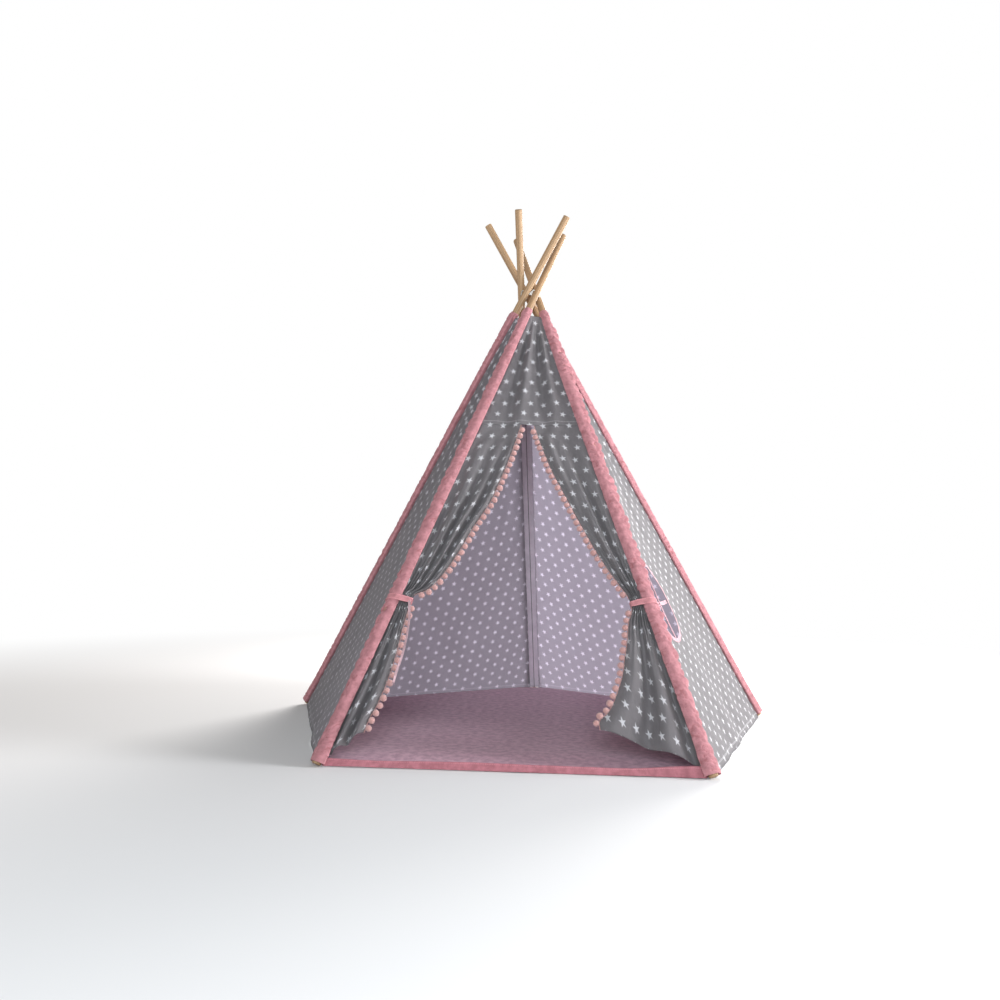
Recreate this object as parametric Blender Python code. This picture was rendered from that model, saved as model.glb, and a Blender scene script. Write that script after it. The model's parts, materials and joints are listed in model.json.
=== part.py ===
"""Play teepee: crossed poles in cloth sleeves, a five-sided cover, a tied-back door, a window and a mat.

Metres, +Z up. The origin is on the floor, at the centre of the ring of pole feet. The door faces -Y.
"""
import math

import bmesh
import bpy
from mathutils import Matrix, Vector

# Frame: every pole leans outwards and passes beside the centre line, so that the poles cross without touching
POLE_LENGTH = 1.80
POLE_DIAMETER = 0.022
POLE_END_CHAMFER = 0.0015
POLE_SIDES = 20
FOOT_RADIUS = 0.790
CROSSING_HEIGHT = 1.330
POLE_OFFSET = 0.0267
POLE_NAMES = ("front_left", "front_right", "side_right", "back", "side_left")
POLES = len(POLE_NAMES)
FIRST_POLE_DEG = 234.0
HOLE_DIAMETER = 0.0065
HOLE_SIDES = 12

# Lashing cord through the drilled holes, with a knot and two short tails behind the crossing
CORD_DIAMETER = 0.0032
CORD_STRAIGHT = 0.0150
CORD_STEP = 0.0030
CORD_HOLE_SHARES = (1.0, 0.5, 0.0, -0.5, -1.0)
KNOT_LENGTH = 0.011
KNOT_WALL = 0.0025
KNOT_CLEARANCE = 0.0008
KNOT_SIDES = 16
KNOT_OUT = 0.050
KNOT_HEIGHT = -0.006
KNOT_PROFILE_SHARES = (-0.5, -0.3, 0.3, 0.5)
KNOT_ROUTE_SHARES = (-1.4, -0.6, 0.0, 0.6, 1.2)
STRAND_GAP = 0.0008
TAIL_LENGTH = 0.032
TAIL_SPREAD = 0.004
TAIL_ROUTE_SHARES = (1.0, 0.5)

# Cloth sleeves on the poles
SLEEVE_WALL = 0.0015
SLEEVE_POLE_GAP = 0.0003
SLEEVE_HALF_WIDTH = 0.0195
SLEEVE_TOP_HALF_WIDTH = 0.0135
SLEEVE_TOP_BELOW = 0.072
SLEEVE_FULL_BELOW = 0.35
SLEEVE_BARE_FOOT = 0.012
SLEEVE_SIDES = 16
SLEEVE_RING_SHARES = (0.0, 0.1, 0.2, 0.5, 1.0)
SLEEVE_LOWER_RINGS = 3
FLANK_SWEEP_DEG = 75
FLANK_STEP_DEG = 15

# Cover cloth
CLOTH = 0.002
SEAM_GAP = 0.0008
COVER_TOP_BELOW = 0.080
HEM_HEIGHT = 0.002
FACE_NAMES = ("front", "side_right", "back_right", "back_left", "side_left")
PANEL_COLUMNS = 6
PANEL_ROW_SHARES = (0.0, 0.03, 0.07, 0.12, 0.2, 0.3, 0.4, 0.5, 0.6, 0.7, 0.8, 0.9, 1.0)
DOOR_HEIGHT = 0.880

# Door curtains: the free edge as shares of the door height and of the width between the pole axes
LEFT_UPPER_SHARES = (
    (0.86, 0.352), (0.76, 0.307), (0.66, 0.239), (0.567, 0.193), (0.507, 0.157), (0.47, 0.122),
)
LEFT_LOWER_SHARES = (
    (0.36, 0.082), (0.32, 0.09), (0.28, 0.096), (0.24, 0.099), (0.2, 0.1), (0.155, 0.097), (0.12, 0.09),
)
LEFT_TOP_SHARE = 0.42
RIGHT_UPPER_SHARES = (
    (0.93, 0.4), (0.86, 0.348), (0.78, 0.283), (0.68, 0.215), (0.594, 0.165), (0.533, 0.127), (0.49, 0.098),
)
RIGHT_LOWER_SHARES = (
    (0.383, 0.104), (0.33, 0.128), (0.29, 0.148), (0.247, 0.167),
    (0.204, 0.193), (0.155, 0.228), (0.125, 0.262),
)
RIGHT_TOP_SHARE = 0.46
TIE_HEIGHT = 0.388
TIE_GATHER = 0.050
TIE_CLEAR = 0.003
CURTAIN_HEM_AT_POLE = 0.026
LEFT_HEM_AT_EDGE = 0.075
RIGHT_HEM_AT_EDGE = 0.095
CURTAIN_FOLDS = 3
FOLD_STEPS = 8
TIE_FOLD_DEPTH = 0.009
LEFT_HEM_FOLD_DEPTH = 0.013
RIGHT_HEM_FOLD_DEPTH = 0.018
TOP_FOLD_DEPTH = 0.002

# Pompom trim on the curtains' free edges
POMPOM_RADIUS = 0.0085
POMPOM_PITCH = 0.020
POMPOM_PROFILE_SHARES = ((-0.85, 0.4), (0.0, 1.0), (0.85, 0.4))
TRIM_GAP = 0.0003

# Tiebacks and the loose ribbon end of the left one
STRAP_WIDTH = 0.014
STRAP_THICKNESS = 0.0015
STRAP_GAP = 0.0006
STRAP_CORNER_SHARE = 0.2
STRAP_STEPS = 24
RIBBON_WIDTH = 0.006
RIBBON_THICKNESS = 0.0008
RIBBON_DROP = 0.196
RIBBON_SWING = 0.053
RIBBON_ROUTE_SHARES = (
    (0.0, 0.0), (0.17, 0.095), (0.38, 0.22), (0.57, 0.37),
    (0.74, 0.54), (0.85, 0.69), (0.91, 0.85), (1.0, 1.0),
)

# Window in the right-hand panel, beside the front right sleeve
WINDOW_CLEAR = 0.009
WINDOW_HEIGHT = 0.388
WINDOW_RADIUS = 0.108
WINDOW_SIDES = 32
BINDING_OVERLAP = 0.010
BINDING_LIP = 0.003
BINDING_THICKNESS = 0.0015
BAR_WIDTH = 0.011
BAR_THICKNESS = 0.0012
BAR_STEPS = 6
TOUCH_GAP = 0.0003

# Threshold band across the door and the padded floor mat
BAND_HEIGHT = 0.018
MAT_GAP = 0.020
MAT_CORNER_RADIUS = 0.120
MAT_CORNER_STEPS = 5
MAT_THICKNESS = 0.018
MAT_EDGE_HEIGHT = 0.006
MAT_CROWN_WIDTH = 0.120
MAT_CROWN_SHARES = ((0.1, 0.35), (0.3, 0.7), (0.6, 0.93), (1.0, 1.0))
MAT_BINDING_THICKNESS = 0.0015
MAT_BINDING_LIFT = 0.001

OVERRUN = 0.010
SMOOTH_DEG = 40
CHAMFERED_DEG = 60
UP = Vector((0.0, 0.0, 1.0))
TILT = math.atan2(math.sqrt(FOOT_RADIUS**2 - POLE_OFFSET**2), CROSSING_HEIGHT)
FOOT_TWIST = math.asin(POLE_OFFSET / FOOT_RADIUS)
POLE_RADIUS = POLE_DIAMETER / 2
FOOT_RIM_DROP = max(
    (POLE_RADIUS - POLE_END_CHAMFER) * math.sin(TILT),
    POLE_RADIUS * math.sin(TILT) - POLE_END_CHAMFER * math.cos(TILT),
)
FOOT_BELOW = (CROSSING_HEIGHT - FOOT_RIM_DROP) / math.cos(TILT)
SLEEVE_HALF_DEPTH = POLE_RADIUS + SLEEVE_POLE_GAP + SLEEVE_WALL
APEX = UP * CROSSING_HEIGHT
STRAP_DEEP = TIE_FOLD_DEPTH + CLOTH / 2 + STRAP_GAP


def clear_scene():
    for existing in list(bpy.data.objects):
        bpy.data.objects.remove(existing, do_unlink=True)


def material(name, color, roughness):
    made = bpy.data.materials.new(name)
    made.use_nodes = True
    shader = made.node_tree.nodes["Principled BSDF"]
    shader.inputs["Base Color"].default_value = (*color, 1.0)
    shader.inputs["Roughness"].default_value = roughness
    shader.inputs["Metallic"].default_value = 0.0
    return made


def mix(start, end, share):
    return start + (end - start) * share


def placed(name, data, finish, parent):
    """A named object whose data is written in its parent's frame."""
    made = bpy.data.objects.new(name, data)
    bpy.context.collection.objects.link(made)
    made.parent = parent
    made.data.materials.append(finish)
    return made


def empty_at(name, matrix):
    made = bpy.data.objects.new(name, None)
    bpy.context.collection.objects.link(made)
    made.matrix_world = matrix
    return made


def mesh_from(name, build):
    shape = bmesh.new()
    build(shape)
    bmesh.ops.recalc_face_normals(shape, faces=shape.faces)
    data = bpy.data.meshes.new(name)
    shape.to_mesh(data)
    shape.free()
    data.shade_smooth()
    data.set_sharp_from_angle(angle=math.radians(SMOOTH_DEG))
    return data


def add_ring(shape, points):
    return [shape.verts.new(point) for point in points]


def join_rings(shape, first, second):
    count = len(first)
    for index in range(count):
        after = (index + 1) % count
        shape.faces.new((first[index], first[after], second[after], second[index]))


def join_loop(shape, rings):
    """A closed tube of rings, the last one joined to the first."""
    for ring, after in zip(rings, rings[1:] + rings[:1]):
        join_rings(shape, ring, after)


def solidify(made, thickness, offset):
    wall = made.modifiers.new("thickness", "SOLIDIFY")
    wall.thickness = thickness
    wall.offset = offset
    wall.use_rim = True


def cut_with(made, name, data):
    cutter = bpy.data.objects.new(name, data)
    bpy.context.collection.objects.link(cutter)
    cutter.parent = made.parent
    cutter.hide_render = True
    cutter.display_type = "WIRE"
    cut = made.modifiers.new(name, "BOOLEAN")
    cut.operation = "DIFFERENCE"
    cut.solver = "EXACT"
    cut.object = cutter


def grid_mesh(name, rows):
    """An open sheet through rows of points."""

    def build(shape):
        lines = [add_ring(shape, row) for row in rows]
        for upper, lower in zip(lines, lines[1:]):
            for index in range(len(upper) - 1):
                shape.faces.new((upper[index], lower[index], lower[index + 1], upper[index + 1]))

    return mesh_from(name, build)


# Poles: directions and places on their axes


def pole_directions(pole):
    azimuth = math.radians(FIRST_POLE_DEG + pole * 360 / POLES)
    outward = Vector((math.cos(azimuth), math.sin(azimuth), 0.0))
    sideways = Vector((-math.sin(azimuth), math.cos(azimuth), 0.0))
    down = outward * math.sin(TILT) - UP * math.cos(TILT)
    square = outward * math.cos(TILT) + UP * math.sin(TILT)
    return outward, sideways, down, square


def pole_crossing(pole):
    return APEX + pole_directions(pole)[1] * POLE_OFFSET


def pole_axis(pole, height):
    down = pole_directions(pole)[2]
    return pole_crossing(pole) + down * below_crossing(height)


def below_crossing(height):
    return (CROSSING_HEIGHT - height) / math.cos(TILT)


def pole_frame(pole):
    """Origin where the pole passes the centre line, +Z up the pole, +Y sideways."""
    _, sideways, down, square = pole_directions(pole)
    turn = Matrix((square, sideways, -down)).transposed().to_4x4()
    return Matrix.Translation(pole_crossing(pole)) @ turn


def sleeve_half_width(below):
    share = (below - SLEEVE_TOP_BELOW) / (SLEEVE_FULL_BELOW - SLEEVE_TOP_BELOW)
    return mix(SLEEVE_TOP_HALF_WIDTH, SLEEVE_HALF_WIDTH, min(1.0, max(0.0, share)))


def sleeve_reach(pole, direction, below):
    """Distance from the pole's axis to the outside of its sleeve along a direction."""
    _, sideways, _, square = pole_directions(pole)
    wide = direction.dot(sideways) / sleeve_half_width(below)
    deep = direction.dot(square) / SLEEVE_HALF_DEPTH
    return 1.0 / math.hypot(wide, deep)


# Cover faces: each is ruled between the axes of two neighbouring poles


def face_chord(face, height):
    first = pole_axis(face, height)
    return first, pole_axis((face + 1) % POLES, height) - first


def cover_place(face, from_first, height):
    """Point on a face and the face's normal there: from_first is measured from the first pole's axis."""
    first, span = face_chord(face, height)
    share = from_first / span.length
    point = first + span * share
    top, top_span = face_chord(face, CROSSING_HEIGHT)
    rise = top + top_span * share - point
    return point, span.cross(rise).normalized()


def cover_point(face, from_first, height, out=0.0):
    """Point over a face, at a distance out along its normal."""
    point, normal = cover_place(face, from_first, height)
    return point + normal * out


def chord_length(face, height):
    return face_chord(face, height)[1].length


def sleeve_flank(pole, along, face_normal, below):
    """How far the sleeve reaches sideways into a face, whatever the distance out of that face."""
    sweep = range(-FLANK_SWEEP_DEG, FLANK_SWEEP_DEG + 1, FLANK_STEP_DEG)
    angles = [math.radians(degrees) for degrees in sweep]
    directions = [along * math.cos(angle) + face_normal * math.sin(angle) for angle in angles]
    return max(sleeve_reach(pole, aim, below) * math.cos(angle) for aim, angle in zip(directions, angles))


def cloth_edges(face, height):
    """Where the cloth starts and ends between the two sleeves, measured from the first pole's axis."""
    span = face_chord(face, height)[1]
    along = span.normalized()
    below = below_crossing(height)
    start = sleeve_reach(face, along, below) + SEAM_GAP
    end = span.length - sleeve_reach((face + 1) % POLES, -along, below) - SEAM_GAP
    return start, end


def local(parent, points):
    inverse = parent.matrix_world.inverted()
    return [inverse @ point for point in points]


def face_rows(face, heights, columns, parent):
    rows = []
    for height in heights:
        start, end = cloth_edges(face, height)
        line = [cover_point(face, mix(start, end, step / columns), height) for step in range(columns + 1)]
        rows.append(local(parent, line))
    return rows


def add_panel(name, face, top, bottom, finish, parent):
    heights = [mix(top, bottom, share) for share in PANEL_ROW_SHARES]
    made = placed(name, grid_mesh(name, face_rows(face, heights, PANEL_COLUMNS, parent)), finish, parent)
    solidify(made, CLOTH, 0.0)
    return made


def add_poles(wood, parents):
    def build_pole(shape):
        bmesh.ops.create_cone(
            shape,
            cap_ends=True,
            segments=POLE_SIDES,
            radius1=POLE_RADIUS,
            radius2=POLE_RADIUS,
            depth=POLE_LENGTH,
            matrix=Matrix.Translation(UP * (POLE_LENGTH / 2 - FOOT_BELOW)),
        )

    def build_drill(shape):
        bmesh.ops.create_cone(
            shape,
            cap_ends=True,
            segments=HOLE_SIDES,
            radius1=HOLE_DIAMETER / 2,
            radius2=HOLE_DIAMETER / 2,
            depth=POLE_DIAMETER + OVERRUN,
            matrix=Matrix.Rotation(math.radians(90), 4, "Y"),
        )

    for name, parent in zip(POLE_NAMES, parents):
        made = placed(f"pole_{name}", mesh_from("pole", build_pole), wood, parent)
        chamfer = made.modifiers.new("chamfer", "BEVEL")
        chamfer.width = POLE_END_CHAMFER
        chamfer.segments = 1
        chamfer.limit_method = "ANGLE"
        chamfer.angle_limit = math.radians(CHAMFERED_DEG)
        cut_with(made, f"drill_{name}", mesh_from("drill", build_drill))


def add_sleeves(finish, parents):
    foot = FOOT_BELOW - SLEEVE_BARE_FOOT
    belows = [mix(SLEEVE_TOP_BELOW, SLEEVE_FULL_BELOW, share) for share in SLEEVE_RING_SHARES]
    lower = [(step + 1) / SLEEVE_LOWER_RINGS for step in range(SLEEVE_LOWER_RINGS)]
    belows += [mix(SLEEVE_FULL_BELOW, foot, share) for share in lower]

    def ellipse(below, inset):
        points = []
        for side in range(SLEEVE_SIDES):
            angle = math.tau * side / SLEEVE_SIDES
            deep = (SLEEVE_HALF_DEPTH - inset) * math.cos(angle)
            wide = (sleeve_half_width(below) - inset) * math.sin(angle)
            points.append(Vector((deep, wide, -below)))
        return points

    def build(shape):
        outer = [add_ring(shape, ellipse(below, 0.0)) for below in belows]
        inner = [add_ring(shape, ellipse(below, SLEEVE_WALL)) for below in belows]
        for rings in (outer, inner):
            for upper, lower in zip(rings, rings[1:]):
                join_rings(shape, upper, lower)
        join_rings(shape, outer[0], inner[0])
        join_rings(shape, outer[-1], inner[-1])

    for name, parent in zip(POLE_NAMES, parents):
        placed(f"sleeve_{name}", mesh_from("sleeve", build), finish, parent)


# Lashing


def smooth_curve(points, step):
    """Points about one step apart on a smooth curve through the given ones."""
    runs = [(end - start).normalized() for start, end in zip(points, points[1:])]
    between = [(before + after).normalized() for before, after in zip(runs, runs[1:])]
    headings = [runs[0]] + between + [runs[-1]]
    smooth = []
    for index, (start, end) in enumerate(zip(points, points[1:])):
        length = (end - start).length
        leave, arrive = headings[index] * length, headings[index + 1] * length
        count = max(1, round(length / step))
        for part in range(count):
            t = part / count
            smooth.append(
                start * (2 * t**3 - 3 * t**2 + 1)
                + leave * (t**3 - 2 * t**2 + t)
                + end * (3 * t**2 - 2 * t**3)
                + arrive * (t**3 - t**2)
            )
    return smooth + [points[-1]]


def add_tube(name, points, radii, finish, parent, resolution=2):
    curve = bpy.data.curves.new(name, "CURVE")
    curve.dimensions = "3D"
    curve.bevel_depth = 1.0
    curve.bevel_resolution = resolution
    curve.use_fill_caps = True
    spline = curve.splines.new("POLY")
    spline.points.add(len(points) - 1)
    for target, point, radius in zip(spline.points, local(parent, points), radii):
        target.co = (*point, 1.0)
        target.radius = radius
    return placed(name, curve, finish, parent)


def add_lashing(finish, parent):
    open_after = POLE_NAMES.index("front_right")
    order = [(open_after + step) % POLES for step in range(1, POLES + 1)]
    azimuth = math.radians(FIRST_POLE_DEG + 90 + (open_after + 0.5) * 360 / POLES)
    out = Vector((math.cos(azimuth), math.sin(azimuth), 0.0))
    side = Vector((-math.sin(azimuth), math.cos(azimuth), 0.0))
    knot = APEX + out * KNOT_OUT + UP * KNOT_HEIGHT
    radius = CORD_DIAMETER / 2
    apart = radius + STRAND_GAP / 2

    def strand(sign):
        place = knot + side * apart * sign
        spread = side * TAIL_SPREAD * sign
        tail = [place + (spread - UP * TAIL_LENGTH) * share for share in TAIL_ROUTE_SHARES]
        return tail + [place + UP * KNOT_LENGTH * share for share in KNOT_ROUTE_SHARES]

    route = strand(1)
    for pole in order:
        square = pole_directions(pole)[3]
        centre = pole_crossing(pole)
        route += [centre + square * CORD_STRAIGHT * share for share in CORD_HOLE_SHARES]
    route += strand(-1)[::-1]
    path = smooth_curve(route, CORD_STEP)
    add_tube("lashing_cord", path, [radius] * len(path), finish, parent)

    def oval(size, height):
        points = []
        for step in range(KNOT_SIDES):
            angle = math.tau * (step + 0.5) / KNOT_SIDES
            shift = apart if math.cos(angle) > 0 else -apart
            across = side * (shift + size * math.cos(angle)) + out * size * math.sin(angle)
            points.append(knot + across + UP * height)
        return local(parent, points)

    def build_knot(shape):
        inside = radius + KNOT_CLEARANCE
        outside = inside + KNOT_WALL
        sizes = (inside, outside, outside, inside)
        profile = zip(sizes, KNOT_PROFILE_SHARES)
        join_loop(shape, [add_ring(shape, oval(size, KNOT_LENGTH * share)) for size, share in profile])

    placed("lashing_knot", mesh_from("lashing_knot", build_knot), finish, parent)


# Curtains


def curtain_rows(top_share, upper, lower, hem_at_edge):
    """Rows from the yoke to the hem: height at the free edge, gathered width from the pole, hem share."""
    half = STRAP_WIDTH / 2 + TIE_CLEAR
    top = DOOR_HEIGHT - SEAM_GAP - CLOTH / 2
    rows = [(top, top_share * chord_length(0, top))]
    rows += [(DOOR_HEIGHT * high, wide * chord_length(0, DOOR_HEIGHT * high)) for high, wide in upper]
    rows += [(TIE_HEIGHT + half, TIE_GATHER), (TIE_HEIGHT, TIE_GATHER), (TIE_HEIGHT - half, TIE_GATHER)]
    rows += [(DOOR_HEIGHT * high, wide * chord_length(0, DOOR_HEIGHT * high)) for high, wide in lower]
    rows.append((hem_at_edge, lower[-1][1] * chord_length(0, hem_at_edge)))
    return rows


def curtain_point(second, width, height, out):
    """Like cover_point on the front face, with the width measured from the curtain's own pole."""
    from_first = chord_length(0, height) - width if second else width
    return cover_point(0, from_first, height, out)


def curtain_side(second, height):
    """The curtain's pole, the direction from it along the face, and the face's normal."""
    span = face_chord(0, height)[1]
    normal = cover_place(0, span.length if second else 0.0, height)[1]
    return (1, -span.normalized(), normal) if second else (0, span.normalized(), normal)


def fold_depth(height, hem_depth):
    if height >= TIE_HEIGHT:
        share = (height - TIE_HEIGHT) / (DOOR_HEIGHT - TIE_HEIGHT)
        return mix(TIE_FOLD_DEPTH, TOP_FOLD_DEPTH, share)
    return mix(TIE_FOLD_DEPTH, hem_depth, 1 - height / TIE_HEIGHT)


def curtain_line(second, row, hem_at_edge, hem_depth):
    edge_height, width = row
    below_tie = TIE_HEIGHT - STRAP_WIDTH / 2 - TIE_CLEAR
    line = []
    steps = CURTAIN_FOLDS * FOLD_STEPS
    for step in range(steps + 1):
        share = step / steps
        height = edge_height
        if edge_height < below_tie:
            fallen = (below_tie - edge_height) / (below_tie - hem_at_edge)
            hem = mix(CURTAIN_HEM_AT_POLE, hem_at_edge, share)
            height = mix(below_tie, hem, fallen)
        near = sleeve_flank(*curtain_side(second, height), below_crossing(height)) + SEAM_GAP
        out = fold_depth(edge_height, hem_depth) * math.sin(math.tau * CURTAIN_FOLDS * share)
        line.append(curtain_point(second, mix(near, width, share), height, out))
    return line


def add_trim(name, lines, facing, finish, parent):
    """Pompoms on a string beside a stretch of the free edge; facing is the face's normal, signed by side."""
    edge = [row[-1] for row in lines]
    line = []
    for index, row in enumerate(lines):
        tangent = edge[min(index + 1, len(edge) - 1)] - edge[max(index - 1, 0)]
        rim = CLOTH / 2 * abs((row[-1] - row[-2]).normalized().dot(facing))
        line.append(edge[index] + tangent.cross(facing).normalized() * (POMPOM_RADIUS + TRIM_GAP + rim))
    lengths = [0.0]
    for start, end in zip(line, line[1:]):
        lengths.append(lengths[-1] + (end - start).length)

    def at(distance):
        for index in range(len(line) - 1):
            if distance <= lengths[index + 1] or index == len(line) - 2:
                share = (distance - lengths[index]) / (lengths[index + 1] - lengths[index])
                return line[index] + (line[index + 1] - line[index]) * share

    count = int((lengths[-1] - POMPOM_RADIUS * 2) / POMPOM_PITCH) + 1
    start = (lengths[-1] - (count - 1) * POMPOM_PITCH) / 2
    points = []
    radii = []
    for index in range(count):
        for shift_share, size_share in POMPOM_PROFILE_SHARES:
            points.append(at(start + index * POMPOM_PITCH + shift_share * POMPOM_RADIUS))
            radii.append(size_share * POMPOM_RADIUS)
    add_tube(name, points, radii, finish, parent)


def add_curtain(side, second, top_share, upper, lower, hem_at_edge, hem_depth, cloth, pink, parent):
    rows = curtain_rows(top_share, upper, lower, hem_at_edge)
    lines = [curtain_line(second, row, hem_at_edge, hem_depth) for row in rows]
    sheet = grid_mesh("curtain", [local(parent, line) for line in lines])
    made = placed(f"curtain_{side}", sheet, cloth, parent)
    solidify(made, CLOTH, 0.0)

    outward = cover_place(0, chord_length(0, TIE_HEIGHT) / 2, TIE_HEIGHT)[1]
    facing = outward if second else -outward
    gather_top = len(upper) + 1
    add_trim(f"pompoms_{side}_upper", lines[: gather_top + 1], facing, pink, parent)
    add_trim(f"pompoms_{side}_lower", lines[gather_top + 2 :], facing, pink, parent)


# Tiebacks


def around(points):
    """Convex outline of points in a plane, anticlockwise."""
    ordered = sorted(points)

    def half(sequence):
        chain = []
        for x, y in sequence:
            while len(chain) > 1:
                (ax, ay), (bx, by) = chain[-2:]
                if (bx - ax) * (y - ay) - (by - ay) * (x - ax) > 0:
                    break
                chain.pop()
            chain.append((x, y))
        return chain

    return half(ordered)[:-1] + half(ordered[::-1])[:-1]


def strap_outline(second):
    """The strap's inside, as widths from the pole's axis and distances out of the face."""
    pole, along, outward = curtain_side(second, TIE_HEIGHT)
    points = []
    for step in range(STRAP_STEPS):
        angle = math.tau * step / STRAP_STEPS
        direction = along * math.cos(angle) + outward * math.sin(angle)
        reach = sleeve_reach(pole, direction, below_crossing(TIE_HEIGHT)) + STRAP_GAP
        points.append((reach * math.cos(angle), reach * math.sin(angle)))
    far = TIE_GATHER + CLOTH / 2 + STRAP_GAP
    corner = STRAP_DEEP * STRAP_CORNER_SHARE
    for side in (-1, 1):
        points += [(far, side * (STRAP_DEEP - corner)), (far - corner, side * STRAP_DEEP)]
    return around(points)


def seam_slit(second, parent):
    """A slab along the neighbouring panel, where the strap is open to let that panel reach its sleeve."""
    face = 1 if second else POLES - 1
    deep = CLOTH / 2 + STRAP_GAP * 2

    def corner(width, height, out):
        from_first = width if second else chord_length(face, height) - width
        return cover_point(face, from_first, height, out)

    def build(shape):
        rings = []
        for height in (TIE_HEIGHT - STRAP_WIDTH * 2, TIE_HEIGHT + STRAP_WIDTH * 2):
            places = ((POLE_RADIUS, -deep), (TIE_GATHER, -deep), (TIE_GATHER, deep), (POLE_RADIUS, deep))
            rings.append(add_ring(shape, local(parent, [corner(wide, height, out) for wide, out in places])))
        join_rings(shape, rings[0], rings[1])
        shape.faces.new(rings[0])
        shape.faces.new(rings[1])

    return mesh_from("seam_slit", build)


def add_tieback(name, second, finish, parent):
    outline = strap_outline(second)

    def build(shape):
        rings = []
        for height in (TIE_HEIGHT - STRAP_WIDTH / 2, TIE_HEIGHT + STRAP_WIDTH / 2):
            points = [curtain_point(second, wide, height, out) for wide, out in outline]
            rings.append(add_ring(shape, local(parent, points)))
        join_rings(shape, rings[0], rings[1])

    data = mesh_from(name, build)
    centre = sum((vertex.co for vertex in data.vertices), Vector()) / len(data.vertices)
    face = data.polygons[0]
    facing_out = (face.center - centre).dot(face.normal) > 0
    made = placed(name, data, finish, parent)
    solidify(made, STRAP_THICKNESS, 1.0 if facing_out else -1.0)
    cut_with(made, f"seam_slit_{name}", seam_slit(second, parent))


def add_ribbon(finish, parent):
    """It comes out under the left strap's lower edge and swings towards the door."""
    wide = TIE_GATHER - RIBBON_WIDTH / 2
    high = TIE_HEIGHT - STRAP_WIDTH / 2 - TOUCH_GAP
    route = [
        Vector((wide + RIBBON_SWING * swing_share, high - RIBBON_DROP * drop_share, 0.0))
        for swing_share, drop_share in RIBBON_ROUTE_SHARES
    ]
    out = STRAP_DEEP + STRAP_THICKNESS / 2
    halves = (-RIBBON_WIDTH / 2, RIBBON_WIDTH / 2)
    rows = []
    for point in smooth_curve(route, RIBBON_WIDTH * 2):
        rows.append(local(parent, [curtain_point(False, point.x + half, point.y, out) for half in halves]))
    made = placed("tieback_ribbon_end", grid_mesh("ribbon", rows), finish, parent)
    solidify(made, RIBBON_THICKNESS, 0.0)


# Window


def window_point(across, up_slope, out):
    """Point around the window's centre, in the plane of the right-hand panel."""
    face = FACE_NAMES.index("side_right")
    rise = (APEX - cover_point(face, chord_length(face, 0.0) / 2, 0.0)).normalized()
    lean = rise.dot(-pole_directions(face)[2])
    sleeve = sleeve_half_width(below_crossing(WINDOW_HEIGHT))
    centre = (sleeve + WINDOW_CLEAR + BINDING_OVERLAP + WINDOW_RADIUS) / lean
    height = WINDOW_HEIGHT + up_slope * rise.z
    middle_shift = (chord_length(face, height) - chord_length(face, WINDOW_HEIGHT)) / 2
    return cover_point(face, middle_shift + centre + across, height, out)


def add_window(panel, pink, parent):
    front = CLOTH / 2 + TOUCH_GAP

    def circle(radius, out):
        angles = [math.tau * side / WINDOW_SIDES for side in range(WINDOW_SIDES)]
        return local(parent, [window_point(radius * math.cos(a), radius * math.sin(a), out) for a in angles])

    def build_cutter(shape):
        inner = add_ring(shape, circle(WINDOW_RADIUS, -OVERRUN))
        outer = add_ring(shape, circle(WINDOW_RADIUS, OVERRUN))
        join_rings(shape, inner, outer)
        shape.faces.new(inner)
        shape.faces.new(outer)

    def build_binding(shape):
        small = WINDOW_RADIUS - BINDING_LIP
        large = WINDOW_RADIUS + BINDING_OVERLAP
        face = front + BINDING_THICKNESS
        corners = ((small, front), (large, front), (large, face), (small, face))
        join_loop(shape, [add_ring(shape, circle(radius, out)) for radius, out in corners])

    def bar(name, upright, back):
        reach = WINDOW_RADIUS + BINDING_OVERLAP / 2
        rows = []
        for step in range(BAR_STEPS + 1):
            along = mix(-reach, reach, step / BAR_STEPS)
            pair = [(half, along) if upright else (along, half) for half in (-BAR_WIDTH / 2, BAR_WIDTH / 2)]
            rows.append(local(parent, [window_point(a, b, back) for a, b in pair]))
        made = placed(name, grid_mesh(name, rows), pink, parent)
        solidify(made, BAR_THICKNESS, 0.0)

    cut_with(panel, "window_cutter", mesh_from("window_cutter", build_cutter))
    placed("window_binding", mesh_from("window_binding", build_binding), pink, parent)
    upright = -CLOTH / 2 - TOUCH_GAP - BAR_THICKNESS / 2
    bar("window_bar_upright", True, upright)
    bar("window_bar_level", False, upright - TOUCH_GAP - BAR_THICKNESS)


# Floor mat


def mat_outline(apothem, corner, height):
    """Pentagon with rounded corners, its corners towards the pole feet."""
    points = []
    reach = (apothem - corner) / math.cos(math.pi / POLES)
    for pole in range(POLES):
        middle = math.radians(FIRST_POLE_DEG + pole * 360 / POLES) + FOOT_TWIST
        centre = Vector((math.cos(middle), math.sin(middle), 0.0)) * reach
        for step in range(MAT_CORNER_STEPS + 1):
            angle = middle + math.pi / POLES * (step / MAT_CORNER_STEPS * 2 - 1)
            points.append(centre + Vector((math.cos(angle), math.sin(angle), 0.0)) * corner + UP * height)
    return points


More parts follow.
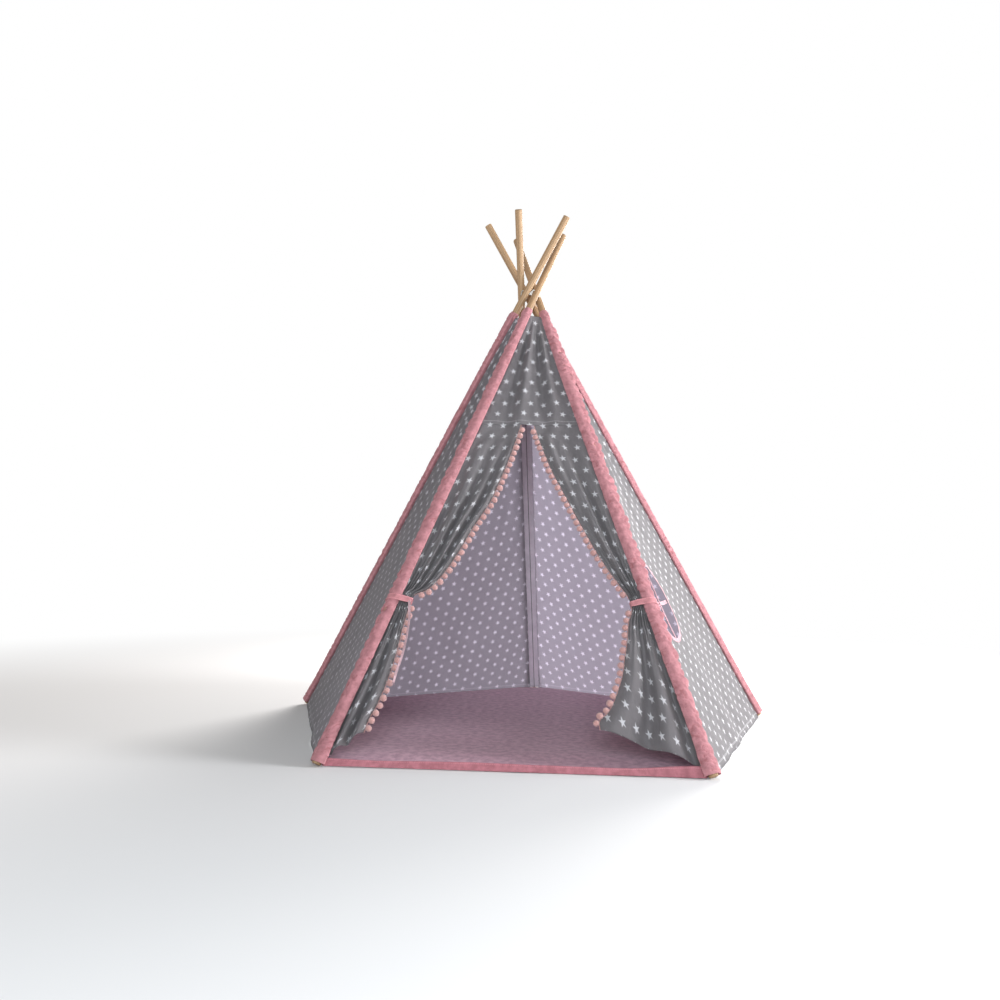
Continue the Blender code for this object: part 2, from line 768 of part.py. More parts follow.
def add_mat(finish, pink, parent):
    apothem = FOOT_RADIUS * math.cos(math.pi / POLES) - CLOTH / 2 - MAT_GAP
    crown = MAT_THICKNESS - MAT_EDGE_HEIGHT
    rounding = MAT_EDGE_HEIGHT / 3

    def build(shape):
        levels = [(rounding, 0.0), (0.0, rounding)]
        levels += [(0.0, MAT_EDGE_HEIGHT - rounding), (rounding, MAT_EDGE_HEIGHT)]
        levels += [(rounding + MAT_CROWN_WIDTH * a, MAT_EDGE_HEIGHT + crown * b) for a, b in MAT_CROWN_SHARES]
        rings = []
        for inset, height in levels:
            corner = max(MAT_CORNER_RADIUS - inset, MAT_CORNER_RADIUS / 8)
            rings.append(add_ring(shape, mat_outline(apothem - inset, corner, height)))
        for lower, upper in zip(rings, rings[1:]):
            join_rings(shape, lower, upper)
        shape.faces.new(rings[0])
        shape.faces.new(rings[-1])

    placed("floor_mat", mesh_from("floor_mat", build), finish, parent)

    def build_binding(shape):
        wall = apothem + TOUCH_GAP
        corner = MAT_CORNER_RADIUS + TOUCH_GAP
        low, high = MAT_BINDING_LIFT, MAT_EDGE_HEIGHT
        thick = MAT_BINDING_THICKNESS
        corners = ((0.0, low), (thick, low), (thick, high), (0.0, high))
        outlines = [mat_outline(wall + inset, corner + inset, height) for inset, height in corners]
        join_loop(shape, [add_ring(shape, outline) for outline in outlines])

    placed("mat_binding", mesh_from("mat_binding", build_binding), pink, parent)


def main():
    clear_scene()
    wood = material("pine", (0.62, 0.43, 0.24), 0.55)
    pink = material("pink_cotton", (0.62, 0.27, 0.30), 0.9)
    grey = material("grey_star_cotton", (0.24, 0.23, 0.24), 0.9)
    trim = material("pompom_wool", (0.66, 0.30, 0.27), 1.0)
    rope = material("cotton_cord", (0.75, 0.72, 0.66), 0.9)
    rose = material("mat_cotton", (0.42, 0.22, 0.27), 0.9)

    pole_parents = [empty_at(f"axis_pole_{name}", pole_frame(index)) for index, name in enumerate(POLE_NAMES)]
    face_parents = []
    for index, name in enumerate(FACE_NAMES):
        azimuth = math.radians(FIRST_POLE_DEG + (index + 0.5) * 360 / POLES)
        turn = Matrix.Rotation(azimuth, 4, "Z")
        face_parents.append(empty_at(f"axis_face_{name}", Matrix.Translation(APEX) @ turn))
    crossing = empty_at("crossing", Matrix.Translation(APEX))
    floor = empty_at("floor", Matrix.Identity(4))
    bpy.context.view_layer.update()

    add_poles(wood, pole_parents)
    add_sleeves(pink, pole_parents)
    add_lashing(rope, crossing)

    top = CROSSING_HEIGHT - COVER_TOP_BELOW * math.cos(TILT)
    front = face_parents[0]
    add_panel("front_yoke", 0, top, DOOR_HEIGHT + CLOTH / 2, grey, front)
    for index, name in enumerate(FACE_NAMES[1:], 1):
        panel = add_panel(f"panel_{name}", index, top, HEM_HEIGHT, grey, face_parents[index])
        if name == "side_right":
            add_window(panel, pink, face_parents[index])
    add_curtain(
        "left", False, LEFT_TOP_SHARE, LEFT_UPPER_SHARES, LEFT_LOWER_SHARES,
        LEFT_HEM_AT_EDGE, LEFT_HEM_FOLD_DEPTH, grey, trim, front,
    )
    add_curtain(
        "right", True, RIGHT_TOP_SHARE, RIGHT_UPPER_SHARES, RIGHT_LOWER_SHARES,
        RIGHT_HEM_AT_EDGE, RIGHT_HEM_FOLD_DEPTH, grey, trim, front,
    )
    add_tieback("tieback_left", False, pink, pole_parents[0])
    add_tieback("tieback_right", True, pink, pole_parents[1])
    add_ribbon(pink, pole_parents[0])
    band = placed(
        "threshold_band",
        grid_mesh("threshold_band", face_rows(0, (BAND_HEIGHT, HEM_HEIGHT), PANEL_COLUMNS, front)),
        pink,
        front,
    )
    solidify(band, CLOTH, 0.0)
    add_mat(rose, pink, floor)


main()
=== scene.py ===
"""Looks of the play teepee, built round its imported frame. Metres, +Z up, the door faces -Y."""
import json
import math

import bpy
import numpy as np
from mathutils import Matrix, Vector, noise


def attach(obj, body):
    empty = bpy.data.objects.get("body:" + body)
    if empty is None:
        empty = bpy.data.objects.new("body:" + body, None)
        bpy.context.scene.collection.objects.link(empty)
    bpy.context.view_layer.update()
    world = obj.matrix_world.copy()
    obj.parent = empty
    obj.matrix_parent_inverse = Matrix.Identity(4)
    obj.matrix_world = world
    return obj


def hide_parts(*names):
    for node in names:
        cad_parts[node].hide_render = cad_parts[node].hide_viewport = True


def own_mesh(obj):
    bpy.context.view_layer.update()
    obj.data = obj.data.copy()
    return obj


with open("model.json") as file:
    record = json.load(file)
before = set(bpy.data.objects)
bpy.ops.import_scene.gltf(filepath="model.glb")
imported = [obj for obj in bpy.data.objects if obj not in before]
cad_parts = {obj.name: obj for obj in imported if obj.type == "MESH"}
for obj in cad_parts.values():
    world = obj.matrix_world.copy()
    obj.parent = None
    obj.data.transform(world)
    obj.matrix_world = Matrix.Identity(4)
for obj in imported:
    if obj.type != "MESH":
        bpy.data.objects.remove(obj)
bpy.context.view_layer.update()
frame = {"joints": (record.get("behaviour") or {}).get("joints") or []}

# Camera: where the photograph was taken from, with its framing
CAMERA_PLACE = Vector((0.2166, -2.6957, 0.4832))
CAMERA_YAW = -0.1116
CAMERA_PITCH = 0.0727
CAMERA_ROLL = 0.0141
CAMERA_FOCAL_PX = 874.0
PICTURE_PX = 1000

lens = bpy.data.cameras.new("camera")
lens.sensor_width = 36.0
lens.lens = lens.sensor_width * CAMERA_FOCAL_PX / PICTURE_PX
camera = bpy.data.objects.new("camera", lens)
bpy.context.collection.objects.link(camera)
aim = Vector((
    math.sin(CAMERA_YAW) * math.cos(CAMERA_PITCH),
    math.cos(CAMERA_YAW) * math.cos(CAMERA_PITCH),
    math.sin(CAMERA_PITCH),
))
level = Vector((math.cos(CAMERA_YAW), -math.sin(CAMERA_YAW), 0.0))
over = level.cross(aim)
picture_right = level * math.cos(CAMERA_ROLL) + over * math.sin(CAMERA_ROLL)
picture_up = over * math.cos(CAMERA_ROLL) - level * math.sin(CAMERA_ROLL)
turn = Matrix((picture_right, picture_up, -aim)).transposed().to_4x4()
camera.matrix_world = Matrix.Translation(CAMERA_PLACE) @ turn
bpy.context.scene.camera = camera


# Floor, soft daylight from the right and a little behind, and a pale room that the camera sees as white
bpy.context.scene.view_settings.view_transform = "Standard"


class Wire:
    """A shader socket that takes part in sums."""

    tree = None

    def __init__(self, socket):
        self.socket = socket

    @classmethod
    def node(cls, kind, settings=None, out=0, **values):
        made = cls.tree.nodes.new(kind)
        for name, value in (settings or {}).items():
            setattr(made, name, value)
        for name, value in values.items():
            key = int(name[1:]) if name[1:].isdigit() else name.replace("_", " ")
            cls.feed(made.inputs[key], value)
        return cls(made.outputs[out])

    @classmethod
    def feed(cls, socket, value):
        if isinstance(value, Wire):
            cls.tree.links.new(value.socket, socket)
        elif socket.type == "RGBA" and len(value) == 3:
            socket.default_value = (*value, 1.0)
        else:
            socket.default_value = value

    def math(self, operation, other=None, swapped=False):
        first, second = (other, self) if swapped else (self, other)
        values = {"i0": first}
        if second is not None:
            values["i1"] = second
        return Wire.node("ShaderNodeMath", {"operation": operation}, **values)

    def __add__(self, other):
        return self.math("ADD", other)

    def __sub__(self, other):
        return self.math("SUBTRACT", other)

    def __rsub__(self, other):
        return self.math("SUBTRACT", other, swapped=True)

    def __mul__(self, other):
        return self.math("MULTIPLY", other)

    def __truediv__(self, other):
        return self.math("DIVIDE", other)

    def ramp(self, low, high, start=0.0, end=1.0):
        """From start to end, smoothly, as the value goes from low to high."""
        settings = {"interpolation_type": "SMOOTHSTEP", "clamp": True}
        return Wire.node("ShaderNodeMapRange", settings, i0=self, i1=low, i2=high, i3=start, i4=end)

    def blend(self, first, second):
        """A colour between two, with this value as the share of the second."""
        return Wire.node("ShaderNodeMix", {"data_type": "RGBA"}, out=2, i0=self, i6=first, i7=second)


def new_material(name):
    made = bpy.data.materials.new(name)
    made.use_nodes = True
    made.node_tree.nodes.clear()
    Wire.tree = made.node_tree
    return made


def surface(shader):
    Wire.tree.links.new(shader.socket, Wire.tree.nodes.new("ShaderNodeOutputMaterial").inputs[0])


def bump(height, distance, strength=1.0):
    return Wire.node("ShaderNodeBump", Height=height, Distance=distance, Strength=strength)


def noise_at(place, scale, detail=3.0, roughness=0.55):
    return Wire.node("ShaderNodeTexNoise", i0=place, Scale=scale, Detail=detail, Roughness=roughness)


def scaled(place, scale, **more):
    return Wire.node("ShaderNodeMapping", {"vector_type": "POINT"}, Vector=place, Scale=scale, **more)


def split(place):
    """The first two parts of a place."""
    parts = Wire.tree.nodes.new("ShaderNodeSeparateXYZ")
    Wire.feed(parts.inputs[0], place)
    return Wire(parts.outputs[0]), Wire(parts.outputs[1])


def cloth_measure():
    return Wire.node("ShaderNodeUVMap", {"uv_map": "UVMap"})


def times(color, share):
    return tuple(c * share for c in color)


def paler(color, share, more=0.0):
    return tuple(min(1.0, c * share + more) for c in color)


WHITE = (1.0, 1.0, 1.0)
FLOOR_COLOR = (0.80, 0.79, 0.78)
AMBIENT = 0.34

world = bpy.data.worlds.new("daylight")
bpy.context.scene.world = world
world.use_nodes = True
world.node_tree.nodes.clear()
Wire.tree = world.node_tree
sky = Wire.node("ShaderNodeBackground", Color=(1.0, 0.97, 0.95), Strength=AMBIENT)
paper = Wire.node("ShaderNodeBackground", Color=WHITE, Strength=1.0)
seen = Wire.node("ShaderNodeLightPath", out="Is Camera Ray")
for ray in ("Is Glossy Ray", "Is Transmission Ray"):
    seen = seen.math("MAXIMUM", Wire.node("ShaderNodeLightPath", out=ray))
backdrop = Wire.node("ShaderNodeMixShader", i0=seen, i1=sky, i2=paper)
Wire.tree.links.new(backdrop.socket, Wire.tree.nodes.new("ShaderNodeOutputWorld").inputs[0])

bpy.ops.mesh.primitive_plane_add(size=60.0)
floor = bpy.context.object
floor.name = "floor"
floor_finish = new_material("pale_floor")
boards = Wire.node("ShaderNodeBsdfDiffuse", Color=FLOOR_COLOR)
blank = Wire.node("ShaderNodeEmission", Color=WHITE, Strength=1.0)
away = Wire.node("ShaderNodeVectorMath", {"operation": "LENGTH"}, out=1, i0=Wire.node("ShaderNodeTexCoord", out=3))
surface(Wire.node("ShaderNodeMixShader", i0=away.ramp(1.4, 4.0), i1=boards, i2=blank))
floor.data.materials.append(floor_finish)


def add_lamp(name, place, target, power, width, color):
    data = bpy.data.lights.new(name, "AREA")
    data.energy = power
    data.size = width
    data.color = color
    lamp = bpy.data.objects.new(name, data)
    bpy.context.collection.objects.link(lamp)
    lamp.location = place
    lamp.rotation_euler = (Vector(target) - Vector(place)).to_track_quat("-Z", "Y").to_euler()


add_lamp("garden_light", (0.9, 3.2, 2.1), (0.0, 0.1, 0.6), 230.0, 2.0, (1.0, 0.98, 0.97))
add_lamp("side_light", (3.5, -0.3, 1.5), (0.3, -0.1, 0.5), 165.0, 1.5, (0.94, 0.96, 1.0))
add_lamp("room_light", (0.3, -3.9, 1.45), (0.0, -0.2, 0.6), 80.0, 1.3, (0.82, 0.92, 1.0))


# Poles: round pine dowels with plain cut ends, each drilled once for the lashing. The lower parts run in sleeves.
POLE_NAMES = ("front_left", "front_right", "side_right", "back", "side_left")
POLE_LENGTH = 1.80
POLE_RADIUS = 0.011
POLE_END_ROUNDING = 0.0015
FOOT_RADIUS = 0.790
DRILL_RADIUS = 0.00325
POLE_SIDES = 40
DRILL_SIDES = 20
GRAIN_STEP = 3.1

joints = {joint["name"]: joint for joint in frame["joints"]}
CROSSINGS = np.array([joints[f"leg_fold_{name}"]["pos_m"] for name in POLE_NAMES])
SIDEWAYS = np.array([joints[f"leg_fold_{name}"]["axis"] for name in POLE_NAMES])
OUTWARD = np.stack([SIDEWAYS[:, 1], -SIDEWAYS[:, 0], SIDEWAYS[:, 2]], axis=1)
UP = np.array([0.0, 0.0, 1.0])
APEX = UP * CROSSINGS[0, 2]
POLE_OFFSET = math.hypot(CROSSINGS[0, 0], CROSSINGS[0, 1])
TILT = math.atan2(math.sqrt(FOOT_RADIUS**2 - POLE_OFFSET**2), APEX[2])
DOWN = OUTWARD * math.sin(TILT) - UP * math.cos(TILT)
SQUARE = OUTWARD * math.cos(TILT) + UP * math.sin(TILT)
FOOT_BELOW = (APEX[2] - (POLE_RADIUS - POLE_END_ROUNDING) * math.sin(TILT)) / math.cos(TILT)
END_LIFT = POLE_END_ROUNDING * (1 / math.cos(TILT) - 1)


def pole_matrix(pole):
    """Origin at the crossing, +Z up the pole, +Y sideways."""
    turned = Matrix(np.stack([SQUARE[pole], SIDEWAYS[pole], -DOWN[pole]], axis=1).tolist()).to_4x4()
    return Matrix.Translation(CROSSINGS[pole].tolist()) @ turned


def points_of(piece):
    flat = np.empty(len(piece.data.vertices) * 3, np.float32)
    piece.data.vertices.foreach_get("co", flat)
    return flat.reshape(-1, 3).astype(float)


def move_points(piece, points):
    piece.data.vertices.foreach_set("co", np.asarray(points, np.float32).ravel())
    piece.data.update()


def keep(piece, name, values, kind="FLOAT", field="value"):
    """A value on each vertex, which a material reads by name."""
    kept = piece.data.attributes.new(name, kind, "POINT")
    kept.data.foreach_set(field, np.asarray(values, np.float32).ravel())


def apply_modifiers(piece):
    bpy.context.view_layer.objects.active = piece
    for modifier in list(piece.modifiers):
        bpy.ops.object.modifier_apply(modifier=modifier.name)


def only(piece):
    bpy.ops.object.select_all(action="DESELECT")
    piece.select_set(True)
    bpy.context.view_layer.objects.active = piece


def edit(piece, *steps):
    """Runs edit-mode operators on the whole piece, each a function and its settings."""
    only(piece)
    bpy.ops.object.mode_set(mode="EDIT")
    bpy.ops.mesh.select_all(action="SELECT")
    for operator, settings in steps:
        operator(**settings)
    bpy.ops.object.mode_set(mode="OBJECT")


def face_outward(piece):
    edit(piece, (bpy.ops.mesh.normals_make_consistent, {"inside": False}))


def weld(piece):
    edit(piece, (bpy.ops.mesh.remove_doubles, {"threshold": 1e-6}))


def join(pieces, whole):
    bpy.ops.object.select_all(action="DESELECT")
    for piece in pieces:
        piece.select_set(True)
    bpy.context.view_layer.objects.active = whole
    bpy.ops.object.join()


def dress(piece, finish, slot_name, body, *nodes):
    piece.data.materials.clear()
    piece.data.materials.append(finish)
    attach(piece, body)
    if nodes:
        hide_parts(*nodes)


def pine_finish():
    made = new_material("pine")
    grain = Wire.node("ShaderNodeAttribute", {"attribute_name": "grain"}, out=1)
    drift = noise_at(scaled(grain, (60.0, 60.0, 2.2)), 1.0, detail=2.0)
    heart = scaled(grain, (1.0, 1.0, 0.006), Location=(0.034, 0.021, 0.0))
    distance = Wire.node("ShaderNodeVectorMath", {"operation": "LENGTH"}, out=1, i0=heart)
    rings = (distance * 2100.0 + drift * 5.0).math("SINE").ramp(-0.6, 1.0)
    fibres = noise_at(scaled(grain, (900.0, 900.0, 12.0)), 1.0)
    pale = fibres.blend((0.38, 0.235, 0.12), (0.49, 0.315, 0.175))
    shade = (rings * 0.60).blend(pale, (0.24, 0.13, 0.06))
    worn = noise_at(grain, 9.0, detail=2.0).ramp(0.35, 0.7, 0.0, 0.35).blend(shade, (0.32, 0.20, 0.11))
    relief = bump(fibres * 0.6 + rings * 0.4, 0.0004, 0.5)
    dull = fibres.ramp(0.2, 0.8, 0.48, 0.66)
    surface(Wire.node("ShaderNodeBsdfPrincipled", Base_Color=worn, Roughness=dull, Normal=relief))
    return made


pine = pine_finish()
for index, pole_name in enumerate(POLE_NAMES):
    bpy.ops.object.select_all(action="DESELECT")
    bpy.ops.mesh.primitive_cylinder_add(
        vertices=POLE_SIDES, radius=POLE_RADIUS, depth=POLE_LENGTH,
        location=(0.0, 0.0, POLE_LENGTH / 2 - FOOT_BELOW + END_LIFT),
    )
    pole = bpy.context.object
    pole.name = f"pole_{pole_name}_turned"
    bpy.ops.object.transform_apply(location=True)
    rounding = pole.modifiers.new("rounding", "BEVEL")
    rounding.width = POLE_END_ROUNDING
    rounding.segments = 3
    rounding.angle_limit = math.radians(60)
    bpy.ops.mesh.primitive_cylinder_add(
        vertices=DRILL_SIDES, radius=DRILL_RADIUS, depth=POLE_RADIUS * 3, rotation=(0.0, math.radians(90), 0.0)
    )
    drill = bpy.context.object
    drilled = pole.modifiers.new("drilled", "BOOLEAN")
    drilled.object = drill
    apply_modifiers(pole)
    bpy.data.objects.remove(drill)
    only(pole)
    bpy.ops.object.shade_smooth_by_angle(angle=math.radians(35))
    keep(pole, "grain", points_of(pole) + np.array([0.0, 0.0, GRAIN_STEP * index]), "FLOAT_VECTOR", "vector")
    pole.data.transform(pole_matrix(index))
    dress(pole, pine, "pine", f"leg_{pole_name}", f"pole_{pole_name}")


# Lashing: a pale braided cotton cord through the five drilled holes, its two ends wound together behind the crossing
CORD_RADIUS = 0.0016
CORD_STRAIGHT = 0.0150
CORD_HOLE_SHARES = (1.0, 0.5, 0.0, -0.5, -1.0)
KNOT_LENGTH = 0.011
KNOT_OUT = 0.050
KNOT_HEIGHT = -0.006
KNOT_ROUTE_SHARES = (-1.4, -0.6, 0.0, 0.6, 1.2)
STRAND_GAP = 0.0008
TAIL_LENGTH = 0.032
TAIL_SPREAD = 0.004
TAIL_ROUTE_SHARES = (1.0, 0.5)
KNOT_TURNS = 4
STEPS_PER_TURN = 28
WINDING_RADIUS = 0.0011
WINDING_OUT = 0.0014
CORD_STEP = 0.0012


def run_along(path):
    """How far along a path each of its points lies."""
    return np.concatenate([[0.0], np.cumsum(np.linalg.norm(np.diff(path, axis=0), axis=1))])


def place_at(distance, run, path):
    """Places on a path, at distances along its run."""
    return np.stack([np.interp(distance, run, path[:, axis]) for axis in range(path.shape[1])], axis=-1)


def smooth_through(route, step):
    """Points about one step apart on a smooth curve through the given ones."""
    route = np.asarray(route, float)
    runs = np.diff(route, axis=0)
    lengths = np.linalg.norm(runs, axis=1)
    runs = runs / lengths[:, None]
    between = runs[:-1] + runs[1:]
    between /= np.linalg.norm(between, axis=1)[:, None]
    headings = np.vstack([runs[:1], between, runs[-1:]])
    out = []
    for start, end, leave, arrive, length in zip(route, route[1:], headings, headings[1:], lengths):
        count = max(1, round(length / step))
        t = (np.arange(count) / count)[:, None]
        out.append(
            start * (2 * t**3 - 3 * t**2 + 1)
            + leave * length * (t**3 - 2 * t**2 + t)
            + end * (3 * t**2 - 2 * t**3)
            + arrive * length * (t**3 - t**2)
        )
    return np.vstack(out + [route[-1:]])


def laid_grid(name, columns, rows, place, flat, closed=False):
    """A sheet: place(u, v) gives the vertices' points, and flat(u, v) the cut cloth's measure, in metres."""
    bpy.ops.object.select_all(action="DESELECT")
    bpy.ops.mesh.primitive_grid_add(x_subdivisions=columns, y_subdivisions=rows, size=2.0)
    piece = bpy.context.object
    piece.name = name
    square = points_of(piece)
    u, v = (square[:, 0] + 1) / 2, (1 - square[:, 1]) / 2
    points = place(u, v)
    move_points(piece, points)
    measure = flat(u, v, points)
    corners = np.empty(len(piece.data.loops), np.int32)
    piece.data.loops.foreach_get("vertex_index", corners)
    piece.data.uv_layers[0].data.foreach_set("uv", np.asarray(measure, np.float32)[corners].ravel())
    piece.data.flip_normals()
    if closed:
        weld(piece)
    only(piece)
    bpy.ops.object.shade_smooth()
    return piece


def step_at(share, count):
    return np.rint(share * count).astype(int)


def across_path(path):
    """Two directions square to a path at each of its points, carried along without twist."""
    tangents = np.gradient(path, axis=0)
    tangents /= np.linalg.norm(tangents, axis=1)[:, None]
    first = np.cross(tangents[0], UP if abs(tangents[0, 2]) < 0.9 else SIDEWAYS[0])
    sides = [first / np.linalg.norm(first)]
    for tangent in tangents[1:]:
        side = sides[-1] - tangent * sides[-1].dot(tangent)
        sides.append(side / np.linalg.norm(side))
    sides = np.array(sides)
    return tangents, sides, np.cross(tangents, sides)


def tube(name, path, radius, sides):
    """A closed round cord along a path; its UV map has the length along it and the girth."""
    path = np.asarray(path, float)
    tangents, first, second = across_path(path)
    along = run_along(path)
    rows = len(path) - 1

    def place(u, v):
        step = step_at(v, rows)
        angle = u * math.tau
        return path[step] + radius * (first[step] * np.cos(angle)[:, None] + second[step] * np.sin(angle)[:, None])

    def flat(u, v, points):
        return np.stack([along[step_at(v, rows)], u * math.tau * radius], axis=1)

    piece = laid_grid(name, sides, rows, place, flat, closed=True)
    edit(piece, (bpy.ops.mesh.select_all, {"action": "DESELECT"}), (bpy.ops.mesh.select_non_manifold, {}),
         (bpy.ops.mesh.fill_holes, {"sides": 0}), (bpy.ops.mesh.select_all, {"action": "SELECT"}),
         (bpy.ops.mesh.normals_make_consistent, {"inside": False}))
    return piece


def cord_finish(name, color, pitch):
    made = new_material(name)
    along, girth = (part * (math.tau / pitch) for part in split(cloth_measure()))
    braid = (along + girth).math("SINE").math("MAXIMUM", (along - girth).math("SINE"))
    dirt = noise_at(Wire.node("ShaderNodeTexCoord", out=3), 70.0)
    # Painted shade: the cord is darker in the grooves between its braided strands, where the relief is low; the noise
    # on top of that is dirt.
    dark = times(color, 0.62)
    shade = braid.ramp(-0.2, 1.0).blend(dark, color)
    aged = dirt.ramp(0.4, 0.75, 0.0, 0.35).blend(shade, dark)
    surface(Wire.node("ShaderNodeBsdfPrincipled", Base_Color=aged, Roughness=0.9, Normal=bump(braid, 0.0005, 0.8)))
    return made


cotton_cord = cord_finish("cotton_cord", (0.80, 0.76, 0.69), 0.0022)
open_after = POLE_NAMES.index("front_right")
lashed = [(open_after + step) % len(POLE_NAMES) for step in range(1, len(POLE_NAMES) + 1)]
gap_middle = OUTWARD[open_after] + OUTWARD[lashed[0]]
gap_middle /= np.linalg.norm(gap_middle)
knot_out = np.array([-gap_middle[1], gap_middle[0], 0.0])
knot_side = -gap_middle
knot_place = APEX + knot_out * KNOT_OUT + UP * KNOT_HEIGHT


def strand(sign):
    place = knot_place + knot_side * (CORD_RADIUS + STRAND_GAP / 2) * sign
    spread = knot_side * TAIL_SPREAD * sign
    tail = [place + (spread - UP * TAIL_LENGTH) * share for share in TAIL_ROUTE_SHARES]
    return tail + [place + UP * KNOT_LENGTH * share for share in KNOT_ROUTE_SHARES]


cord_route = strand(1)
for index in lashed:
    cord_route += [CROSSINGS[index] + SQUARE[index] * CORD_STRAIGHT * share for share in CORD_HOLE_SHARES]
cord_route += strand(-1)[::-1]
lashing = tube("lashing_cord_laid", smooth_through(cord_route, CORD_STEP), CORD_RADIUS, 14)
dress(lashing, cotton_cord, "cotton_cord", "lashing", "lashing_cord")

turn_angle = np.linspace(0.0, math.tau * KNOT_TURNS, STEPS_PER_TURN * KNOT_TURNS)
winding = (
    knot_place
    + knot_side * (np.cos(turn_angle) * (CORD_RADIUS * 2 + STRAND_GAP / 2 + WINDING_OUT))[:, None]
    + knot_out * (np.sin(turn_angle) * (CORD_RADIUS + WINDING_OUT))[:, None]
    + UP * ((turn_angle / (math.tau * KNOT_TURNS) - 0.5) * (KNOT_LENGTH - WINDING_RADIUS * 2))[:, None]
)
whipping = tube("lashing_knot_wound", winding, WINDING_RADIUS, 12)
dress(whipping, cotton_cord, "cotton_cord", "lashing", "lashing_knot")


# Sleeves: tubes of pink cotton sewn along the cover's seams, one on each pole. The seams gather the cloth, so every
# sleeve is puckered, with scalloped edges where two panels meet and a straight edge along the door.
SLEEVE_TOP_BELOW = 0.072
SLEEVE_FULL_BELOW = 0.35
SLEEVE_HALF_WIDTH = 0.0195
SLEEVE_TOP_HALF_WIDTH = 0.0135
SLEEVE_HALF_DEPTH = 0.0128
SLEEVE_BARE_FOOT = 0.012
SLEEVE_CLOTH = 0.0006
SLEEVE_ROWS = 600
SLEEVE_COLUMNS = 44
SLEEVE_EDGE_DROP = 0.0035
SLEEVE_FLARE = 0.0040
SLEEVE_PLUMP = 0.0035
PUCKER_PITCH = 0.030
PUCKER_SLANT = 0.6
PUCKER_HEIGHT = 0.0031
SCALLOPS = {"front_left": 0.0075, "front_right": 0.0165}
TIE_BELOW = 1.0955


def smooth_step(low, high, values):
    share = np.clip((values - low) / (high - low), 0.0, 1.0)
    return share * share * (3 - 2 * share)


def hump(values, middle, width):
    return np.exp(-(((values - middle) / width) ** 2))


def wander(values, seed, scale):
    """Smooth irregular values from -1 to 1 along a line."""
    places = np.asarray(values, float) / scale
    return np.array([noise.noise(Vector((place, seed * 7.31, 0.5))) for place in places.ravel()]).reshape(places.shape)


def wrinkle(x, y, seed):
    """Smooth irregular values from -1 to 1 over a surface."""
    flat = np.broadcast_arrays(np.asarray(x, float), np.asarray(y, float))
    pairs = zip(flat[0].ravel(), flat[1].ravel())
    return np.array([noise.noise(Vector((a, b, seed * 5.17))) for a, b in pairs]).reshape(flat[0].shape)


def sleeve_half_width(below):
    share = np.clip((below - SLEEVE_TOP_BELOW) / (SLEEVE_FULL_BELOW - SLEEVE_TOP_BELOW), 0.0, 1.0)
    return SLEEVE_TOP_HALF_WIDTH + (SLEEVE_HALF_WIDTH - SLEEVE_TOP_HALF_WIDTH) * share


def thicken(piece, thickness, offset=0.0):
    wall = piece.modifiers.new("cloth", "SOLIDIFY")
    wall.thickness = thickness
    wall.offset = offset
    wall.use_rim = True
    apply_modifiers(piece)


def weave_bump(place, pitch, creases, scale):
    """Threads of plain weave, with soft creases under them."""
    across, along = ((part * (math.tau / pitch)).math("SINE") for part in split(place))
    thread = across * along
    crumple = noise_at(place, scale, detail=4.0, roughness=0.6)
    coarse = bump(crumple, creases, 0.6)
    return thread, crumple, Wire.node("ShaderNodeBump", Height=thread, Distance=0.00012, Strength=0.35, Normal=coarse)


def cotton(base, glow, share, relief):
    """Thin cotton: most light comes back from it, and a share comes through."""
    face = Wire.node(
        "ShaderNodeBsdfPrincipled", Base_Color=base, Roughness=0.92, Normal=relief,
        Specular_IOR_Level=0.25, Sheen_Weight=0.12, Sheen_Roughness=0.5,
    )
    if not isinstance(share, Wire) and share == 0.0:
        surface(face)
        return
    through = Wire.node("ShaderNodeBsdfTranslucent", Color=glow, Normal=relief)
    surface(Wire.node("ShaderNodeMixShader", i0=share, i1=face, i2=through))


PINK = (0.57, 0.250, 0.272)


def stitched(shade, across, along, stitch, fade, pitch, strength, thread):
    """A line of stitches over a shade, at a place across the cloth."""
    near = (across - stitch).math("ABSOLUTE").ramp(0.0004, fade, 1.0, 0.0)
    dash = (along * (math.tau / pitch)).math("SINE").ramp(-0.5, -0.1)
    return (near * dash * strength).blend(shade, thread)


def pink_finish(name, color, stitch_places=(), shaded_in_creases=False, sheer=0.16):
    made = new_material(name)
    place = cloth_measure()
    thread, crumple, relief = weave_bump(place, 0.0011, 0.0016, 55.0)
    shade = crumple.ramp(0.28, 0.72).blend(times(color, 0.76), paler(color, 1.14, 0.015))
    # Painted shade: where the sleeves are creased, the colour is darkened as if shade fell in the creases.
    if shaded_in_creases:
        crease = Wire.node("ShaderNodeAttribute", {"attribute_name": "crease"}, out=2)
        shade = crease.ramp(0.35, 1.0, 0.0, 0.70).blend(shade, (color[0] * 0.62, color[1] * 0.42, color[2] * 0.40))
    # Painted shade: the colour is a little darker on the lower threads of the weave.
    shade = thread.ramp(-1.0, 1.0, 0.10, 0.0).blend(shade, times(color, 0.5))
    along, across = split(place)
    for stitch in stitch_places:
        shade = stitched(shade, across, along, stitch, 0.0009, 0.0042, 0.8, paler(color, 1.35, 0.06))
    cotton(shade, color, sheer, relief)
    return made


sleeve_foot = FOOT_BELOW - SLEEVE_BARE_FOOT
girth = math.tau * math.sqrt((SLEEVE_HALF_WIDTH**2 + SLEEVE_HALF_DEPTH**2) / 2)
sleeve_cotton = pink_finish(
    "pink_cotton_sleeves", PINK, (girth * 0.235, girth * 0.265, girth * 0.735, girth * 0.765), shaded_in_creases=True
)

